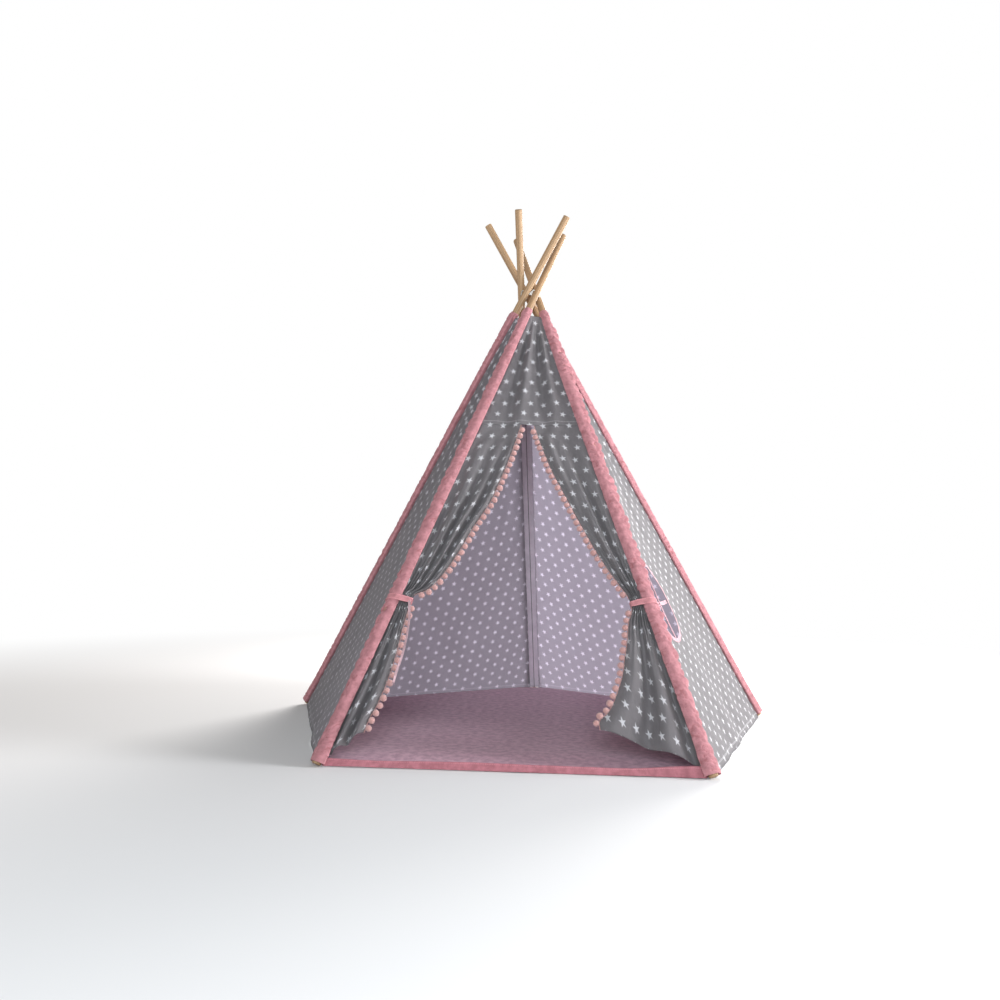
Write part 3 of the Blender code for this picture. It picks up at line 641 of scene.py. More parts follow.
for index, pole_name in enumerate(POLE_NAMES):
    at_door = pole_name.startswith("front")
    sleeve_end = sleeve_foot + (0.0075 if at_door else 0.0)
    loose_side = -1 if pole_name.endswith("left") else 1
    scallop = SCALLOPS.get(pole_name, 0.0035)
    creases = np.zeros((SLEEVE_COLUMNS + 1) * (SLEEVE_ROWS + 1))

    def sleeve_place(u, v):
        below = SLEEVE_TOP_BELOW + (sleeve_end - SLEEVE_TOP_BELOW) * v
        across, outside = np.sin(u * math.tau), np.cos(u * math.tau)
        rim = np.abs(across)
        flare = SLEEVE_FLARE * smooth_step(sleeve_end - 0.10, sleeve_end - 0.01, below)
        side = across * loose_side
        edge = smooth_step(-0.1, 0.95, side) * (1 - (0.7 if at_door else 0.0) * smooth_step(1.15, 1.5, below))
        beat = below / PUCKER_PITCH + 0.8 * wander(below, index * 3 + 1, 0.07)
        tooth = np.abs(np.sin(np.pi * (beat - PUCKER_SLANT * side))) ** 0.7
        deep_tooth = np.clip(0.9 + 0.9 * wander(below, index * 3 + 7, 0.045), 0.3, 1.4)
        turned = 0.024 * across + below * 0.75 * loose_side
        drawn = wrinkle((below - 0.018 * side) / 0.0125, turned / 0.030, index + 11)
        strength = np.clip(0.8 + 1.2 * wrinkle(below / 0.05, across, index + 31), 0.15, 1.3)
        puff = np.minimum(np.abs(drawn) / 0.30, 1.0) ** 0.8
        lift = scallop * edge * deep_tooth * (tooth - 0.55) + PUCKER_HEIGHT * strength * (puff - 0.6) * (1 - 0.45 * rim)
        lift = lift + (0.0 if at_door else SLEEVE_PLUMP)
        fade = smooth_step(0.0, 0.012, below - SLEEVE_TOP_BELOW) * smooth_step(-0.75, -0.15, outside)
        if at_door:
            fade = fade * (1 - 0.85 * hump(below, TIE_BELOW, 0.014))
        # A mask of painted shade for the sleeve colour: high in the creases between puckers and in the gaps between
        # scallops.
        sharp = np.maximum((1 - puff) ** 1.5 * np.clip(strength, 0, 1), (1 - tooth) ** 2 * edge * 0.8)
        creases[:] = sharp * fade
        wide = (sleeve_half_width(below) + flare) * across + across * lift * fade
        deep = (SLEEVE_HALF_DEPTH - 0.0003 + flare * 0.4) * outside * (1 - 0.30 * rim**8) - SLEEVE_EDGE_DROP * rim**5
        deep = deep + outside * lift * fade
        middle = CROSSINGS[index] + DOWN[index] * below[:, None]
        return middle + SQUARE[index] * deep[:, None] + SIDEWAYS[index] * wide[:, None]

    def sleeve_flat(u, v, points):
        return np.stack([(sleeve_end - SLEEVE_TOP_BELOW) * v, u * girth], axis=1)

    sleeve = laid_grid(f"sleeve_{pole_name}_sewn", SLEEVE_COLUMNS, SLEEVE_ROWS, sleeve_place, sleeve_flat)
    keep(sleeve, "crease", creases)
    weld(sleeve)
    face_outward(sleeve)
    thicken(sleeve, SLEEVE_CLOTH, -1.0)
    dress(sleeve, sleeve_cotton, "pink_cotton", f"leg_{pole_name}", f"sleeve_{pole_name}")


# Cover: four panels of grey cotton printed with small pale stars, sewn between the sleeves. The cloth is drawn in
# towards the crossing, hangs in soft folds above a stitched hem, and is puckered along both seams.
FACE_NAMES = ("front", "side_right", "back_right", "back_left", "side_left")
COVER_TOP_BELOW = 0.080
HEM_HEIGHT = 0.002
CLOTH = 0.0009
CLOTH_TUCK = 0.0010
PANEL_COLUMNS = 112
PANEL_ROWS = 180
STAR_PITCH = 0.0395
STAR_ROW = 0.0380
STAR_RADIUS = 0.0108
STAR_NOTCH = 0.37
CLOTH_GREY = (0.182, 0.169, 0.171)
STAR_PALE = (0.72, 0.71, 0.72)
CLOTH_GLOW = (0.74, 0.70, 0.78)


def below_crossing(height):
    """How far down a pole from the crossing a height lies."""
    return (APEX[2] - height) / math.cos(TILT)


def next_pole(face):
    return (face + 1) % len(POLE_NAMES)


def pole_axis(pole, height):
    return CROSSINGS[pole] + DOWN[pole] * below_crossing(height)[:, None]


def face_chord(face, height):
    first = pole_axis(face, height)
    return first, pole_axis(next_pole(face), height) - first


def unit(vectors):
    return vectors / np.linalg.norm(vectors, axis=1)[:, None]


def cover_place(face, from_first, height):
    """Points on a face and its normals there; from_first is measured from the first pole's axis."""
    first, span = face_chord(face, height)
    share = (from_first / np.linalg.norm(span, axis=1))[:, None]
    point = first + span * share
    top, top_span = face_chord(face, np.full_like(height, APEX[2]))
    return point, unit(np.cross(span, top + top_span * share - point))


def chord_length(face, height):
    return np.linalg.norm(face_chord(face, height)[1], axis=1)


def sleeve_reach(pole, direction, below):
    wide = direction @ SIDEWAYS[pole] / sleeve_half_width(below)
    deep = direction @ SQUARE[pole] / SLEEVE_HALF_DEPTH
    return 1.0 / np.hypot(wide, deep)


def cloth_edges(face, height):
    """Where a face's cloth starts and ends, tucked a little into the two sleeves' seams."""
    span = face_chord(face, height)[1]
    along, below = unit(span), below_crossing(height)
    start = sleeve_reach(face, along, below) - CLOTH_TUCK
    end = np.linalg.norm(span, axis=1) - sleeve_reach(next_pole(face), -along, below) + CLOTH_TUCK
    return start, end


def star_finish(name, base, star, sheer, seams=(), turned=0.0, joined=False):
    """Seams are pairs of the axis (0 across, 1 along) and the place of a stitched line in the cloth's own measure."""
    made = new_material(name)
    place = cloth_measure()
    across, along = split(place)
    print_across = across * math.cos(turned) - along * math.sin(turned)
    print_along = across * math.sin(turned) + along * math.cos(turned)
    row = (print_along / STAR_ROW).math("FLOOR")
    odd = row.math("FLOORED_MODULO", 2.0)
    column_place = print_across / STAR_PITCH + odd * 0.5
    column = column_place.math("FLOOR")
    x = (column_place - column - 0.5) * STAR_PITCH
    y = (print_along / STAR_ROW - row - 0.5) * STAR_ROW
    jitter = (column * 12.9898 + row * 78.233).math("SINE")
    angle = x.math("ARCTAN2", y) + jitter * 0.22 + math.pi / 5 + math.tau
    sector = math.tau / 5
    folded = (angle.math("FLOORED_MODULO", sector) - sector / 2).math("ABSOLUTE")
    radius = (x * x + y * y).math("SQRT")
    px, py = radius * folded.math("COSINE"), radius * folded.math("SINE")
    inner = STAR_RADIUS * STAR_NOTCH
    tip, notch = (STAR_RADIUS, 0.0), (inner * math.cos(math.pi / 5), inner * math.sin(math.pi / 5))
    run = (notch[0] - tip[0], notch[1] - tip[1])
    size = math.hypot(*run)
    outside = ((px - tip[0]) * (-run[1] / size) + py * (run[0] / size)) * -1.0
    star_mask = outside.ramp(-0.0004, 0.0004, 1.0, 0.0)
    thread, crumple, relief = weave_bump(place, 0.0009, 0.0022, 16.0)
    slub = noise_at(scaled(place, (700.0, 90.0, 1.0)), 1.0)
    grey = crumple.ramp(0.25, 0.75).blend(times(base, 0.88), times(base, 1.12))
    grey = slub.ramp(0.35, 0.75, 0.0, 0.45).blend(grey, paler(base, 1.3))
    printed = (star_mask * slub.ramp(0.15, 0.5, 0.78, 1.0)).blend(grey, star)
    # Painted shade: the colour is a little darker on the lower threads of the weave.
    shade = thread.ramp(-1.0, 1.0, 0.12, 0.0).blend(printed, times(base, 0.45))
    for axis, stitch in seams:
        line, dash_along = (along, across) if axis else (across, along)
        shade = stitched(shade, line, dash_along, stitch, 0.0010, 0.0045, 0.7, star)
    if joined:
        shade = across.math("ABSOLUTE").ramp(0.0005, 0.0016, 1.0, 0.0).blend(shade, (0.10, 0.05, 0.06))
    cotton(shade, CLOTH_GLOW, star_mask * sheer * 0.45 + sheer, relief)
    return made


PANEL_TURN_AND_SHEER = {
    "side_right": (88.0, 0.10), "back_right": (91.0, 0.42), "back_left": (89.0, 0.42), "side_left": (92.0, 0.30),
}
FACE_INSET = 0.0216
rise_per_height = 1.0 / math.cos(math.atan2(FOOT_RADIUS * math.cos(math.pi / 5) - FACE_INSET, APEX[2]))


def seam_distance(u, start, end):
    return np.minimum(u, 1 - u) * (end - start)


def puckers(u, height, start, end, depth, reach, slant, seed):
    """Small waves along both seams, which fade into the cloth."""
    away = seam_distance(u, start, end)
    beat = height * rise_per_height / PUCKER_PITCH + np.where(u < 0.5, 1.0, -1.0) * away / slant
    return depth * np.exp(-away / reach) * np.sin(math.tau * (beat + 0.6 * wander(height, seed, 0.08)))


def panel_relief(u, height, start, end, seed):
    """How far the cloth stands out of its face: drawn folds, puckers at the seams and a hanging hem."""
    width = end - start
    share = (APEX[2] - height) / APEX[2]
    x = (u - 0.5) * width
    arch = np.sin(np.pi * u)
    sag = -0.010 * arch * np.sin(np.pi * np.clip(share, 0, 1)) ** 0.7
    fan = u * 2 - 1 + 0.10 * wander(share, seed, 0.3)
    drawn = 0.0045 * hump(share, 0.28, 0.20) * arch * np.cos(math.tau * 2.4 * fan + seed)
    swell = smooth_step(0.45, 1.0, share)
    hang = 0.0040 * swell * arch**0.6 * wrinkle(x / 0.13 + 3.0, share * 2.2, seed + 20)
    slant = 0.0050 * arch**0.5 * wrinkle((x + height * 0.45) / 0.16, (height - x * 0.3) / 0.55, seed + 40)
    cross = 0.0030 * arch**0.5 * wrinkle((x - height * 0.55) / 0.10, (height + x * 0.4) / 0.40, seed + 50)
    creases = 0.0012 * wrinkle(x / 0.035, height / 0.05, seed + 60)
    puckered = puckers(u, height, start, end, 0.0016, 0.022, 0.045, seed + 80)
    return sag + drawn + hang + slant + cross + creases + puckered


def add_face_sheet(name, face, top, bottom, columns, rows, relief, seed, gathered=1.0):
    def place(u, v):
        height = top + (bottom - top) * v
        start, end = cloth_edges(face, height)
        point, normal = cover_place(face, start + (end - start) * u, height)
        pinned = np.clip(seam_distance(u, start, end) / 0.006, 0.0, 1.0)
        point = point + normal * (relief(u, height, start, end, seed) * pinned)[:, None]
        point[:, 2] = np.maximum(point[:, 2], CLOTH)
        return point

    def flat(u, v, points):
        height = top + (bottom - top) * v
        start, end = cloth_edges(face, height)
        return np.stack([(u - 0.5) * (end - start) * gathered, (height - HEM_HEIGHT) * rise_per_height], axis=1)

    return laid_grid(name, columns, rows, place, flat)


def face_middle(face):
    """The direction across a face at its middle, and where the crossing lies on that face."""
    across = SIDEWAYS[face] + SIDEWAYS[next_pole(face)]
    across = across / np.linalg.norm(across)
    return across, APEX + across * across.dot(CROSSINGS[face] - APEX)


def follow_face(piece, face):
    across, anchor = face_middle(face)
    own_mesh(piece)


cover_top = APEX[2] - COVER_TOP_BELOW
panels = {}
for face_name in PANEL_TURN_AND_SHEER:
    face = FACE_NAMES.index(face_name)
    panel = add_face_sheet(
        f"panel_{face_name}_hung", face, cover_top, HEM_HEIGHT - 0.001, PANEL_COLUMNS, PANEL_ROWS, panel_relief, face
    )
    panels[face_name] = panel


# Window: a round opening cut in the right side panel, bound with a folded pink tape, with two pink tapes crossed
# behind it. The binding is eased round the curve, so its outer edge is gathered.
WINDOW_CLEAR = 0.009
WINDOW_HEIGHT = 0.388
WINDOW_RADIUS = 0.108
BINDING_OVERLAP = 0.010
BINDING_LIP = 0.003
BAR_WIDTH = 0.011
BAR_THICKNESS = 0.0009
TAPE_THICKNESS = 0.0011
TAPE_PINK = (0.71, 0.44, 0.48)
HOLE_SIDES = 96
PUNCH_REACH = 0.05

window_face = FACE_NAMES.index("side_right")
floor_level = np.zeros(1)
window_middle = cover_place(window_face, chord_length(window_face, floor_level) / 2, floor_level)[0][0]
window_rise = unit((APEX - window_middle)[None, :])[0]
window_lean = window_rise.dot(-DOWN[window_face])


def window_place(across, up_slope, out):
    """Points around the window's centre, over the plane of the right side panel."""
    at_window = np.full_like(across, WINDOW_HEIGHT)
    sleeve = sleeve_half_width(below_crossing(WINDOW_HEIGHT))
    centre = (sleeve + WINDOW_CLEAR + BINDING_OVERLAP + WINDOW_RADIUS) / window_lean
    height = WINDOW_HEIGHT + up_slope * window_rise[2]
    shift = (chord_length(window_face, height) - chord_length(window_face, at_window)) / 2
    point, normal = cover_place(window_face, shift + centre + across, height)
    return point + normal * np.asarray(out)[:, None]


def relief_at_window(across, up_slope):
    """The panel's own relief around the window, so that the tapes lie on the cloth."""
    height = WINDOW_HEIGHT + up_slope * window_rise[2]
    place = window_place(across, up_slope, np.zeros_like(across))
    first, span = face_chord(window_face, height)
    from_first = np.linalg.norm(place - first, axis=1)
    start, end = cloth_edges(window_face, height)
    u = (from_first - start) / (end - start)
    return panel_relief(u, height, start, end, window_face)


def ring_tape(name, inner, outer, lift, rounds, puckers):
    """A closed flat tape round the window, lying on the cloth; the tape's section is a folded oval."""
    section = 10

    def place(u, v):
        angle, turn_by = u * math.tau, v * math.tau
        edge = 0.5 + 0.5 * np.cos(turn_by)
        ease = np.sin(angle * puckers + 1.3 * np.sin(angle * 3)) * edge
        radius = inner + (outer - inner) * edge + 0.0009 * ease
        x, y = radius * np.cos(angle), radius * np.sin(angle)
        thick = TAPE_THICKNESS * (0.5 + 0.5 * np.sin(turn_by))
        out = relief_at_window(x, y) + lift + thick + 0.0006 * np.sin(angle * puckers * 0.5 + 0.7) * edge
        return window_place(x, y, out)

    def flat(u, v, points):
        edge = 0.5 + 0.5 * np.cos(v * math.tau)
        return np.stack([u * math.tau * (inner + outer) / 2, (outer - inner) * edge], axis=1)

    piece = laid_grid(name, rounds, section, place, flat, closed=True)
    face_outward(piece)
    return piece


tape_cotton = pink_finish("pink_cotton_tape", TAPE_PINK, (0.0016,))
binding = ring_tape(
    "window_binding_sewn", WINDOW_RADIUS - BINDING_LIP, WINDOW_RADIUS + BINDING_OVERLAP, CLOTH / 2, 200, 46
)
dress(binding, tape_cotton, "pink_cotton", "face_side_right", "window_binding")
follow_face(binding, window_face)

hole_steps = np.linspace(0.0, math.tau, HOLE_SIDES, endpoint=False)
hole = WINDOW_RADIUS * np.cos(hole_steps), WINDOW_RADIUS * np.sin(hole_steps)
low_points, high_points = (window_place(*hole, np.full(HOLE_SIDES, out)) for out in (-PUNCH_REACH, PUNCH_REACH))
bpy.ops.object.select_all(action="DESELECT")
bpy.ops.mesh.primitive_cylinder_add(vertices=HOLE_SIDES, radius=1.0, depth=2.0)
punch = bpy.context.object
drum = points_of(punch)
order = np.round(np.arctan2(drum[:, 1], drum[:, 0]) / (math.tau / HOLE_SIDES)).astype(int) % HOLE_SIDES
move_points(punch, np.where((drum[:, 2] > 0)[:, None], high_points[order], low_points[order]))
face_outward(punch)
window_panel = panels["side_right"]
thicken(window_panel, CLOTH)
opening = window_panel.modifiers.new("window", "BOOLEAN")
opening.object = punch
opening.solver = "EXACT"
apply_modifiers(window_panel)
bpy.data.objects.remove(punch)

for bar_name, upright, back in (("upright", True, 0.0012), ("level", False, 0.0024)):
    reach = WINDOW_RADIUS + BINDING_OVERLAP / 2

    def bar_place(u, v):
        along = (v * 2 - 1) * reach
        half = (u - 0.5) * BAR_WIDTH * (1 + 0.06 * wander(v * 10 + back * 900, 4, 1.0))
        x, y = (half, along) if upright else (along, half)
        slack = 0.0035 * (1 - (along / reach) ** 2)
        curl = 0.0010 * np.cos(u * math.pi * 2 + 0.6 * np.sin(v * 9))
        rim = np.clip((np.abs(along) - WINDOW_RADIUS * 0.8) / (reach - WINDOW_RADIUS * 0.8), 0, 1)
        on_cloth = relief_at_window(x, y) - CLOTH / 2 - back
        out = on_cloth * rim + (on_cloth - slack * 0.5 + curl) * (1 - rim)
        return window_place(x, y - (0.0 if upright else 1.0) * slack, out)

    def bar_flat(u, v, points):
        return np.stack([v * reach * 2, u * BAR_WIDTH], axis=1)

    bar = laid_grid(f"window_bar_{bar_name}_sewn", 8, 60, bar_place, bar_flat)
    thicken(bar, BAR_THICKNESS)
    dress(bar, tape_cotton, "pink_cotton", "face_side_right", f"window_bar_{bar_name}")
    follow_face(bar, window_face)



def taper(face, top, bottom):
    """Widths of a face's cloth at its top and its bottom, and its length up the slope."""
    edges = [cloth_edges(face, np.array([height])) for height in (top, bottom)]
    return [float(end[0] - start[0]) for start, end in edges], (top - bottom) * rise_per_height


# Panels again: the print, turned a little differently on each, and the two rows of stitches above the hem
for face_name, panel in panels.items():
    face = FACE_NAMES.index(face_name)
    if panel is not window_panel:
        thicken(panel, CLOTH)
    print_turn, sheer = PANEL_TURN_AND_SHEER[face_name]
    panel_cotton = star_finish(
        f"star_cotton_{face_name}", CLOTH_GREY, STAR_PALE, sheer, ((1, 0.013), (1, 0.0155)), math.radians(print_turn)
    )
    dress(panel, panel_cotton, "star_cotton", f"face_{face_name}", f"panel_{face_name}")
    widths, slope = taper(face, cover_top, HEM_HEIGHT)
    (widths[0] + widths[1]) / 2 * slope
    f"sleeve_{POLE_NAMES[(face + 1) % 5]}_sewn"
    follow_face(panel, face)


# Inner seams: where two panels meet behind a side or back sleeve, their joined edges show inside as a narrow strip with
# a thin dark line in its middle. The strip's cloth is given a pale colour as painted light, standing in for the
# daylight that comes through the panels beside it and that the sleeve and pole behind it block.
SEAM_REACH = 0.0058
SEAM_INSIDE = 0.0152
SEAM_FOOT = 0.009
SEAM_BELOW_TOP = 0.004
SEAM_WIDTH = 0.040
SEAM_COLUMNS = 20
SEAM_ROWS = 120

# Painted light: the strip's colour is far paler than the grey cloth, so that it looks as lit as the panels beside it.
seam_cotton_painted_pale = star_finish("star_cotton_inner_seams", (0.92, 0.82, 0.89), (0.94, 0.86, 0.92), 0.10, joined=True)
for index, pole_name in enumerate(POLE_NAMES):
    if pole_name.startswith("front"):
        continue

    def seam_place(u, v):
        foot = HEM_HEIGHT + SEAM_FOOT * 4 * u * (1 - u)
        height = cover_top - SEAM_BELOW_TOP + (foot + SEAM_BELOW_TOP - cover_top) * v
        first, first_normal = cover_place(index, cloth_edges(index, height)[0] + SEAM_REACH, height)
        last, last_normal = cover_place(index - 1, cloth_edges(index - 1, height)[1] - SEAM_REACH, height)
        first, last = first - first_normal * CLOTH, last - last_normal * CLOTH
        middle = pole_axis(index, height) - unit(first_normal + last_normal) * SEAM_INSIDE
        drawn = middle * 2 - (first + last) / 2
        groove = 0.0005 * hump(u, 0.5, 0.05) + 0.0006 * wander(height, 40 + index, 0.05)
        across = u[:, None]
        bent = first * (1 - across) ** 2 + drawn * 2 * across * (1 - across) + last * across**2
        return bent + unit(first_normal + last_normal) * (groove * np.sin(np.pi * u))[:, None]

    def seam_flat(u, v, points):
        return np.stack([(u - 0.5) * SEAM_WIDTH, (cover_top - HEM_HEIGHT) * (1 - v) * rise_per_height], axis=1)

    seam = laid_grid(f"seam_{pole_name}_inside", SEAM_COLUMNS, SEAM_ROWS, seam_place, seam_flat)
    face_outward(seam)
    seam_area = sum(face.area for face in seam.data.polygons)
    thicken(seam, CLOTH)
    dress(seam, seam_cotton_painted_pale, "star_cotton", f"leg_{pole_name}")
    seam_length = (cover_top - HEM_HEIGHT) / math.cos(TILT)
    seam_area / seam_length
    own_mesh(seam)


# Yoke: the cloth above the door, gathered towards the crossing, so that it hangs in long upright folds. Its hemmed
# lower edge carries the two curtains.
DOOR_HEIGHT = 0.880
SEAM_GAP = 0.0008
YOKE_GATHER = 1.05
YOKE_COLUMNS = 72
YOKE_ROWS = 96


def yoke_relief(u, height, start, end, seed):
    width = end - start
    x = (u - 0.5) * width
    share = (cover_top - height) / (cover_top - DOOR_HEIGHT)
    across = u + 0.03 * wander(share, 9, 0.5)
    edge = np.sin(np.pi * u) ** 0.7
    depth = 0.0098 * smooth_step(0.0, 0.35, share) * (1 - 0.55 * smooth_step(0.75, 1.0, share))
    folds = depth * edge * (np.sin(math.tau * (2.6 * across + 0.18)) + 0.45 * np.sin(math.tau * (5.1 * across + 0.4)))
    soft = 0.0035 * edge * wrinkle(x / 0.05, height / 0.22, 91)
    creases = 0.0012 * wrinkle(x / 0.022, height / 0.045, 92)
    return folds + soft + creases + puckers(u, height, start, end, 0.0013, 0.018, 0.04, 93)


yoke_hem_stitch = (DOOR_HEIGHT + 0.011) * rise_per_height
yoke_cotton = star_finish("star_cotton_yoke", CLOTH_GREY, STAR_PALE, 0.22, ((1, yoke_hem_stitch),))
yoke = add_face_sheet(
    "front_yoke_hung", 0, cover_top, DOOR_HEIGHT + SEAM_GAP, YOKE_COLUMNS, YOKE_ROWS, yoke_relief, 0,
    gathered=YOKE_GATHER,
)
thicken(yoke, CLOTH)
dress(yoke, yoke_cotton, "star_cotton", "face_front", "front_yoke")
yoke_widths, yoke_slope = taper(0, cover_top, DOOR_HEIGHT)
sum(yoke_widths) / 2 * yoke_slope
follow_face(yoke, 0)


# Curtains: two lengths of the printed cotton hung from the yoke's hem and from the front sleeves. Each is gathered
# into a tieback at its pole, so the folds run together there and spread again to the hem.
LEFT_UPPER_SHARES = (
    (0.86, 0.352), (0.76, 0.307), (0.66, 0.239), (0.567, 0.193), (0.507, 0.157), (0.47, 0.122),
)
LEFT_LOWER_SHARES = (
    (0.36, 0.082), (0.32, 0.09), (0.28, 0.096), (0.24, 0.099), (0.2, 0.1), (0.155, 0.097), (0.12, 0.09),
)
LEFT_TOP_SHARE = 0.42
RIGHT_UPPER_SHARES = (
    (0.93, 0.4), (0.86, 0.348), (0.78, 0.283), (0.68, 0.215), (0.594, 0.165), (0.533, 0.127), (0.49, 0.098),
)
RIGHT_LOWER_SHARES = (
    (0.383, 0.104), (0.33, 0.128), (0.29, 0.148), (0.247, 0.167),
    (0.204, 0.193), (0.155, 0.228), (0.125, 0.262),
)
RIGHT_TOP_SHARE = 0.46
TIE_HEIGHT = 0.388
TIE_GATHER = 0.050
TIE_CLEAR = 0.003
STRAP_WIDTH = 0.014
CURTAIN_HEM_AT_POLE = 0.026
LEFT_HEM_AT_EDGE = 0.075
RIGHT_HEM_AT_EDGE = 0.095
LEFT_FOLDS = (-3.0, -2.0)
RIGHT_FOLDS = (2.5, -2.0)
CURTAIN_TUCK = 0.005
CURTAIN_GATHER = 1.05
TIE_FOLD_DEPTH = 0.0085
TOP_FOLD_DEPTH = 0.002
LEFT_HEM_FOLD_DEPTH = 0.016
RIGHT_HEM_FOLD_DEPTH = 0.020
FINE_FOLDS = 8
CURTAIN_COLUMNS = 128
CURTAIN_ROWS = 190


def curtain_rows(top_share, upper, lower, hem_at_edge):
    """Height of the free edge and gathered width from the pole, from the yoke to the hem."""
    def at(height):
        return float(chord_length(0, np.array([height]))[0])

    half = STRAP_WIDTH / 2 + TIE_CLEAR
    top = DOOR_HEIGHT + CURTAIN_TUCK
    rows = [(top, top_share * at(DOOR_HEIGHT))]
    rows += [(DOOR_HEIGHT * high, wide * at(DOOR_HEIGHT * high)) for high, wide in upper]
    rows += [(TIE_HEIGHT + half, TIE_GATHER), (TIE_HEIGHT, TIE_GATHER), (TIE_HEIGHT - half, TIE_GATHER)]
    rows += [(DOOR_HEIGHT * high, wide * at(DOOR_HEIGHT * high)) for high, wide in lower]
    rows.append((hem_at_edge, lower[-1][1] * at(hem_at_edge)))
    return np.array(rows)


def smooth_along(places, knots, values):
    """Values at the places, on a curve through the knots that never overshoots."""
    order = np.argsort(knots)
    x, y = knots[order], values[order]
    steps, slopes = np.diff(x), np.diff(y) / np.diff(x)
    tangents = np.zeros_like(y)
    both = slopes[:-1] * slopes[1:]
    tangents[1:-1] = np.where(both > 0, 2 * both / np.where(both > 0, slopes[:-1] + slopes[1:], 1.0), 0.0)
    tangents[0], tangents[-1] = slopes[0], slopes[-1]
    index = np.clip(np.searchsorted(x, places) - 1, 0, len(steps) - 1)
    t = (places - x[index]) / steps[index]
    h = steps[index]
    return (
        y[index] * (2 * t**3 - 3 * t**2 + 1) + tangents[index] * h * (t**3 - 2 * t**2 + t)
        + y[index + 1] * (3 * t**2 - 2 * t**3) + tangents[index + 1] * h * (t**3 - t**2)
    )


def curtain_side(second, height):
    """The direction from the curtain's pole along the face."""
    along = unit(face_chord(0, height)[1])
    return -along if second else along


def curtain_point(second, width, height, out):
    from_first = chord_length(0, height) - width if second else width
    point, normal = cover_place(0, from_first, height)
    return point + normal * out[:, None]


curtains = {
    "left": (False, curtain_rows(LEFT_TOP_SHARE, LEFT_UPPER_SHARES, LEFT_LOWER_SHARES, LEFT_HEM_AT_EDGE),
             LEFT_HEM_AT_EDGE, LEFT_HEM_FOLD_DEPTH, LEFT_FOLDS),
    "right": (True, curtain_rows(RIGHT_TOP_SHARE, RIGHT_UPPER_SHARES, RIGHT_LOWER_SHARES, RIGHT_HEM_AT_EDGE),
              RIGHT_HEM_AT_EDGE, RIGHT_HEM_FOLD_DEPTH, RIGHT_FOLDS),
}


def curtain_shape(side, u, edge_height):
    """Points of a curtain: u runs from the pole to the free edge, rows are named by the height of that edge."""
    second, rows, hem_at_edge, hem_depth, folds = curtains[side]
    width = smooth_along(edge_height, rows[:, 0], rows[:, 1])
    below_tie = TIE_HEIGHT - STRAP_WIDTH / 2 - TIE_CLEAR
    fallen = np.clip((below_tie - edge_height) / (below_tie - hem_at_edge), 0.0, 1.0)
    hem = CURTAIN_HEM_AT_POLE + (hem_at_edge - CURTAIN_HEM_AT_POLE) * u
    height = np.where(edge_height < below_tie, below_tie + (hem - below_tie) * fallen, edge_height)
    near = sleeve_reach(1 if second else 0, curtain_side(second, height), below_crossing(height)) - CLOTH_TUCK
    from_tie = edge_height - TIE_HEIGHT
    rising = np.clip(from_tie / (DOOR_HEIGHT - TIE_HEIGHT), 0.0, 1.0)
    falling = np.clip(-from_tie / TIE_HEIGHT, 0.0, 1.0)
    main = np.where(from_tie >= 0, TIE_FOLD_DEPTH + (TOP_FOLD_DEPTH - TIE_FOLD_DEPTH) * rising,
                    TIE_FOLD_DEPTH + (hem_depth - TIE_FOLD_DEPTH) * falling)
    main = main + 0.0080 * hump(rising, 0.40, 0.30) * (from_tie > 0) * (0.75 + 0.45 * u)
    seed = 11 if second else 5
    lower = smooth_step(-0.02, 0.02, -from_tie)
    warp = u ** (1.25 - 0.50 * lower) + 0.04 * np.sin(math.tau * u) * np.sin(from_tie * 5 + seed)
    count = folds[0] + (folds[1] - folds[0]) * lower
    wave = np.sin(math.tau * count * warp)
    wave = np.where(wave > 0, np.abs(wave) ** 0.8, -np.abs(wave) ** 1.25)
    wave = wave + 0.18 * np.sin(2 * math.tau * count * warp + 0.8) * np.sin(np.pi * u)
    pinch = np.exp(-(np.maximum(np.abs(from_tie) - 0.012, 0.0) / np.where(from_tie > 0, 0.085, 0.055)))
    fine = 0.0078 * pinch * np.sin(math.tau * FINE_FOLDS * u + 0.9 * np.sin(math.tau * u + seed))
    fine = fine * smooth_step(0, 0.08, 1 - u)
    shallow = 1 - 0.85 * pinch
    edge = np.clip(u / 0.05, 0, 1) * np.clip((1 - u) / 0.03, 0, 1)
    soft = 0.0045 * (1 - pinch) * edge * wrinkle(u * 3.2, edge_height / 0.11, seed + 2)
    creases = 0.0012 * edge * wrinkle(u * width / 0.02, edge_height / 0.04, seed + 3)
    out = main * wave * shallow + fine + soft + creases
    if second:
        from_edge = (width - near) * (1 - u)
        turned = 0.0110 * hump(from_edge, 0.026, 0.009) - 0.0060 * hump(from_edge, 0.010, 0.006)
        kept = smooth_step(0.01, 0.06, from_tie) * (1 - smooth_step(0.93, 1.0, rising))
        kept = kept * np.clip(from_edge / 0.004, 0, 1)
        out = out * (1 - 0.6 * kept * np.exp(-from_edge / 0.04)) + turned * kept
    from_pole = near + (width - near) * u
    hung = np.maximum(height, DOOR_HEIGHT)
    start, end = cloth_edges(0, hung)
    share = np.clip(((chord_length(0, height) - from_pole if second else from_pole) - start) / (end - start), 0.0, 1.0)
    pinned = np.clip(seam_distance(share, start, end) / 0.006, 0, 1)
    under_yoke = yoke_relief(share, hung, start, end, 0) * pinned - 0.0013
    sewn = smooth_step(0.84, 0.985, rising)
    return curtain_point(second, from_pole, height, out * (1 - sewn) + under_yoke * sewn)


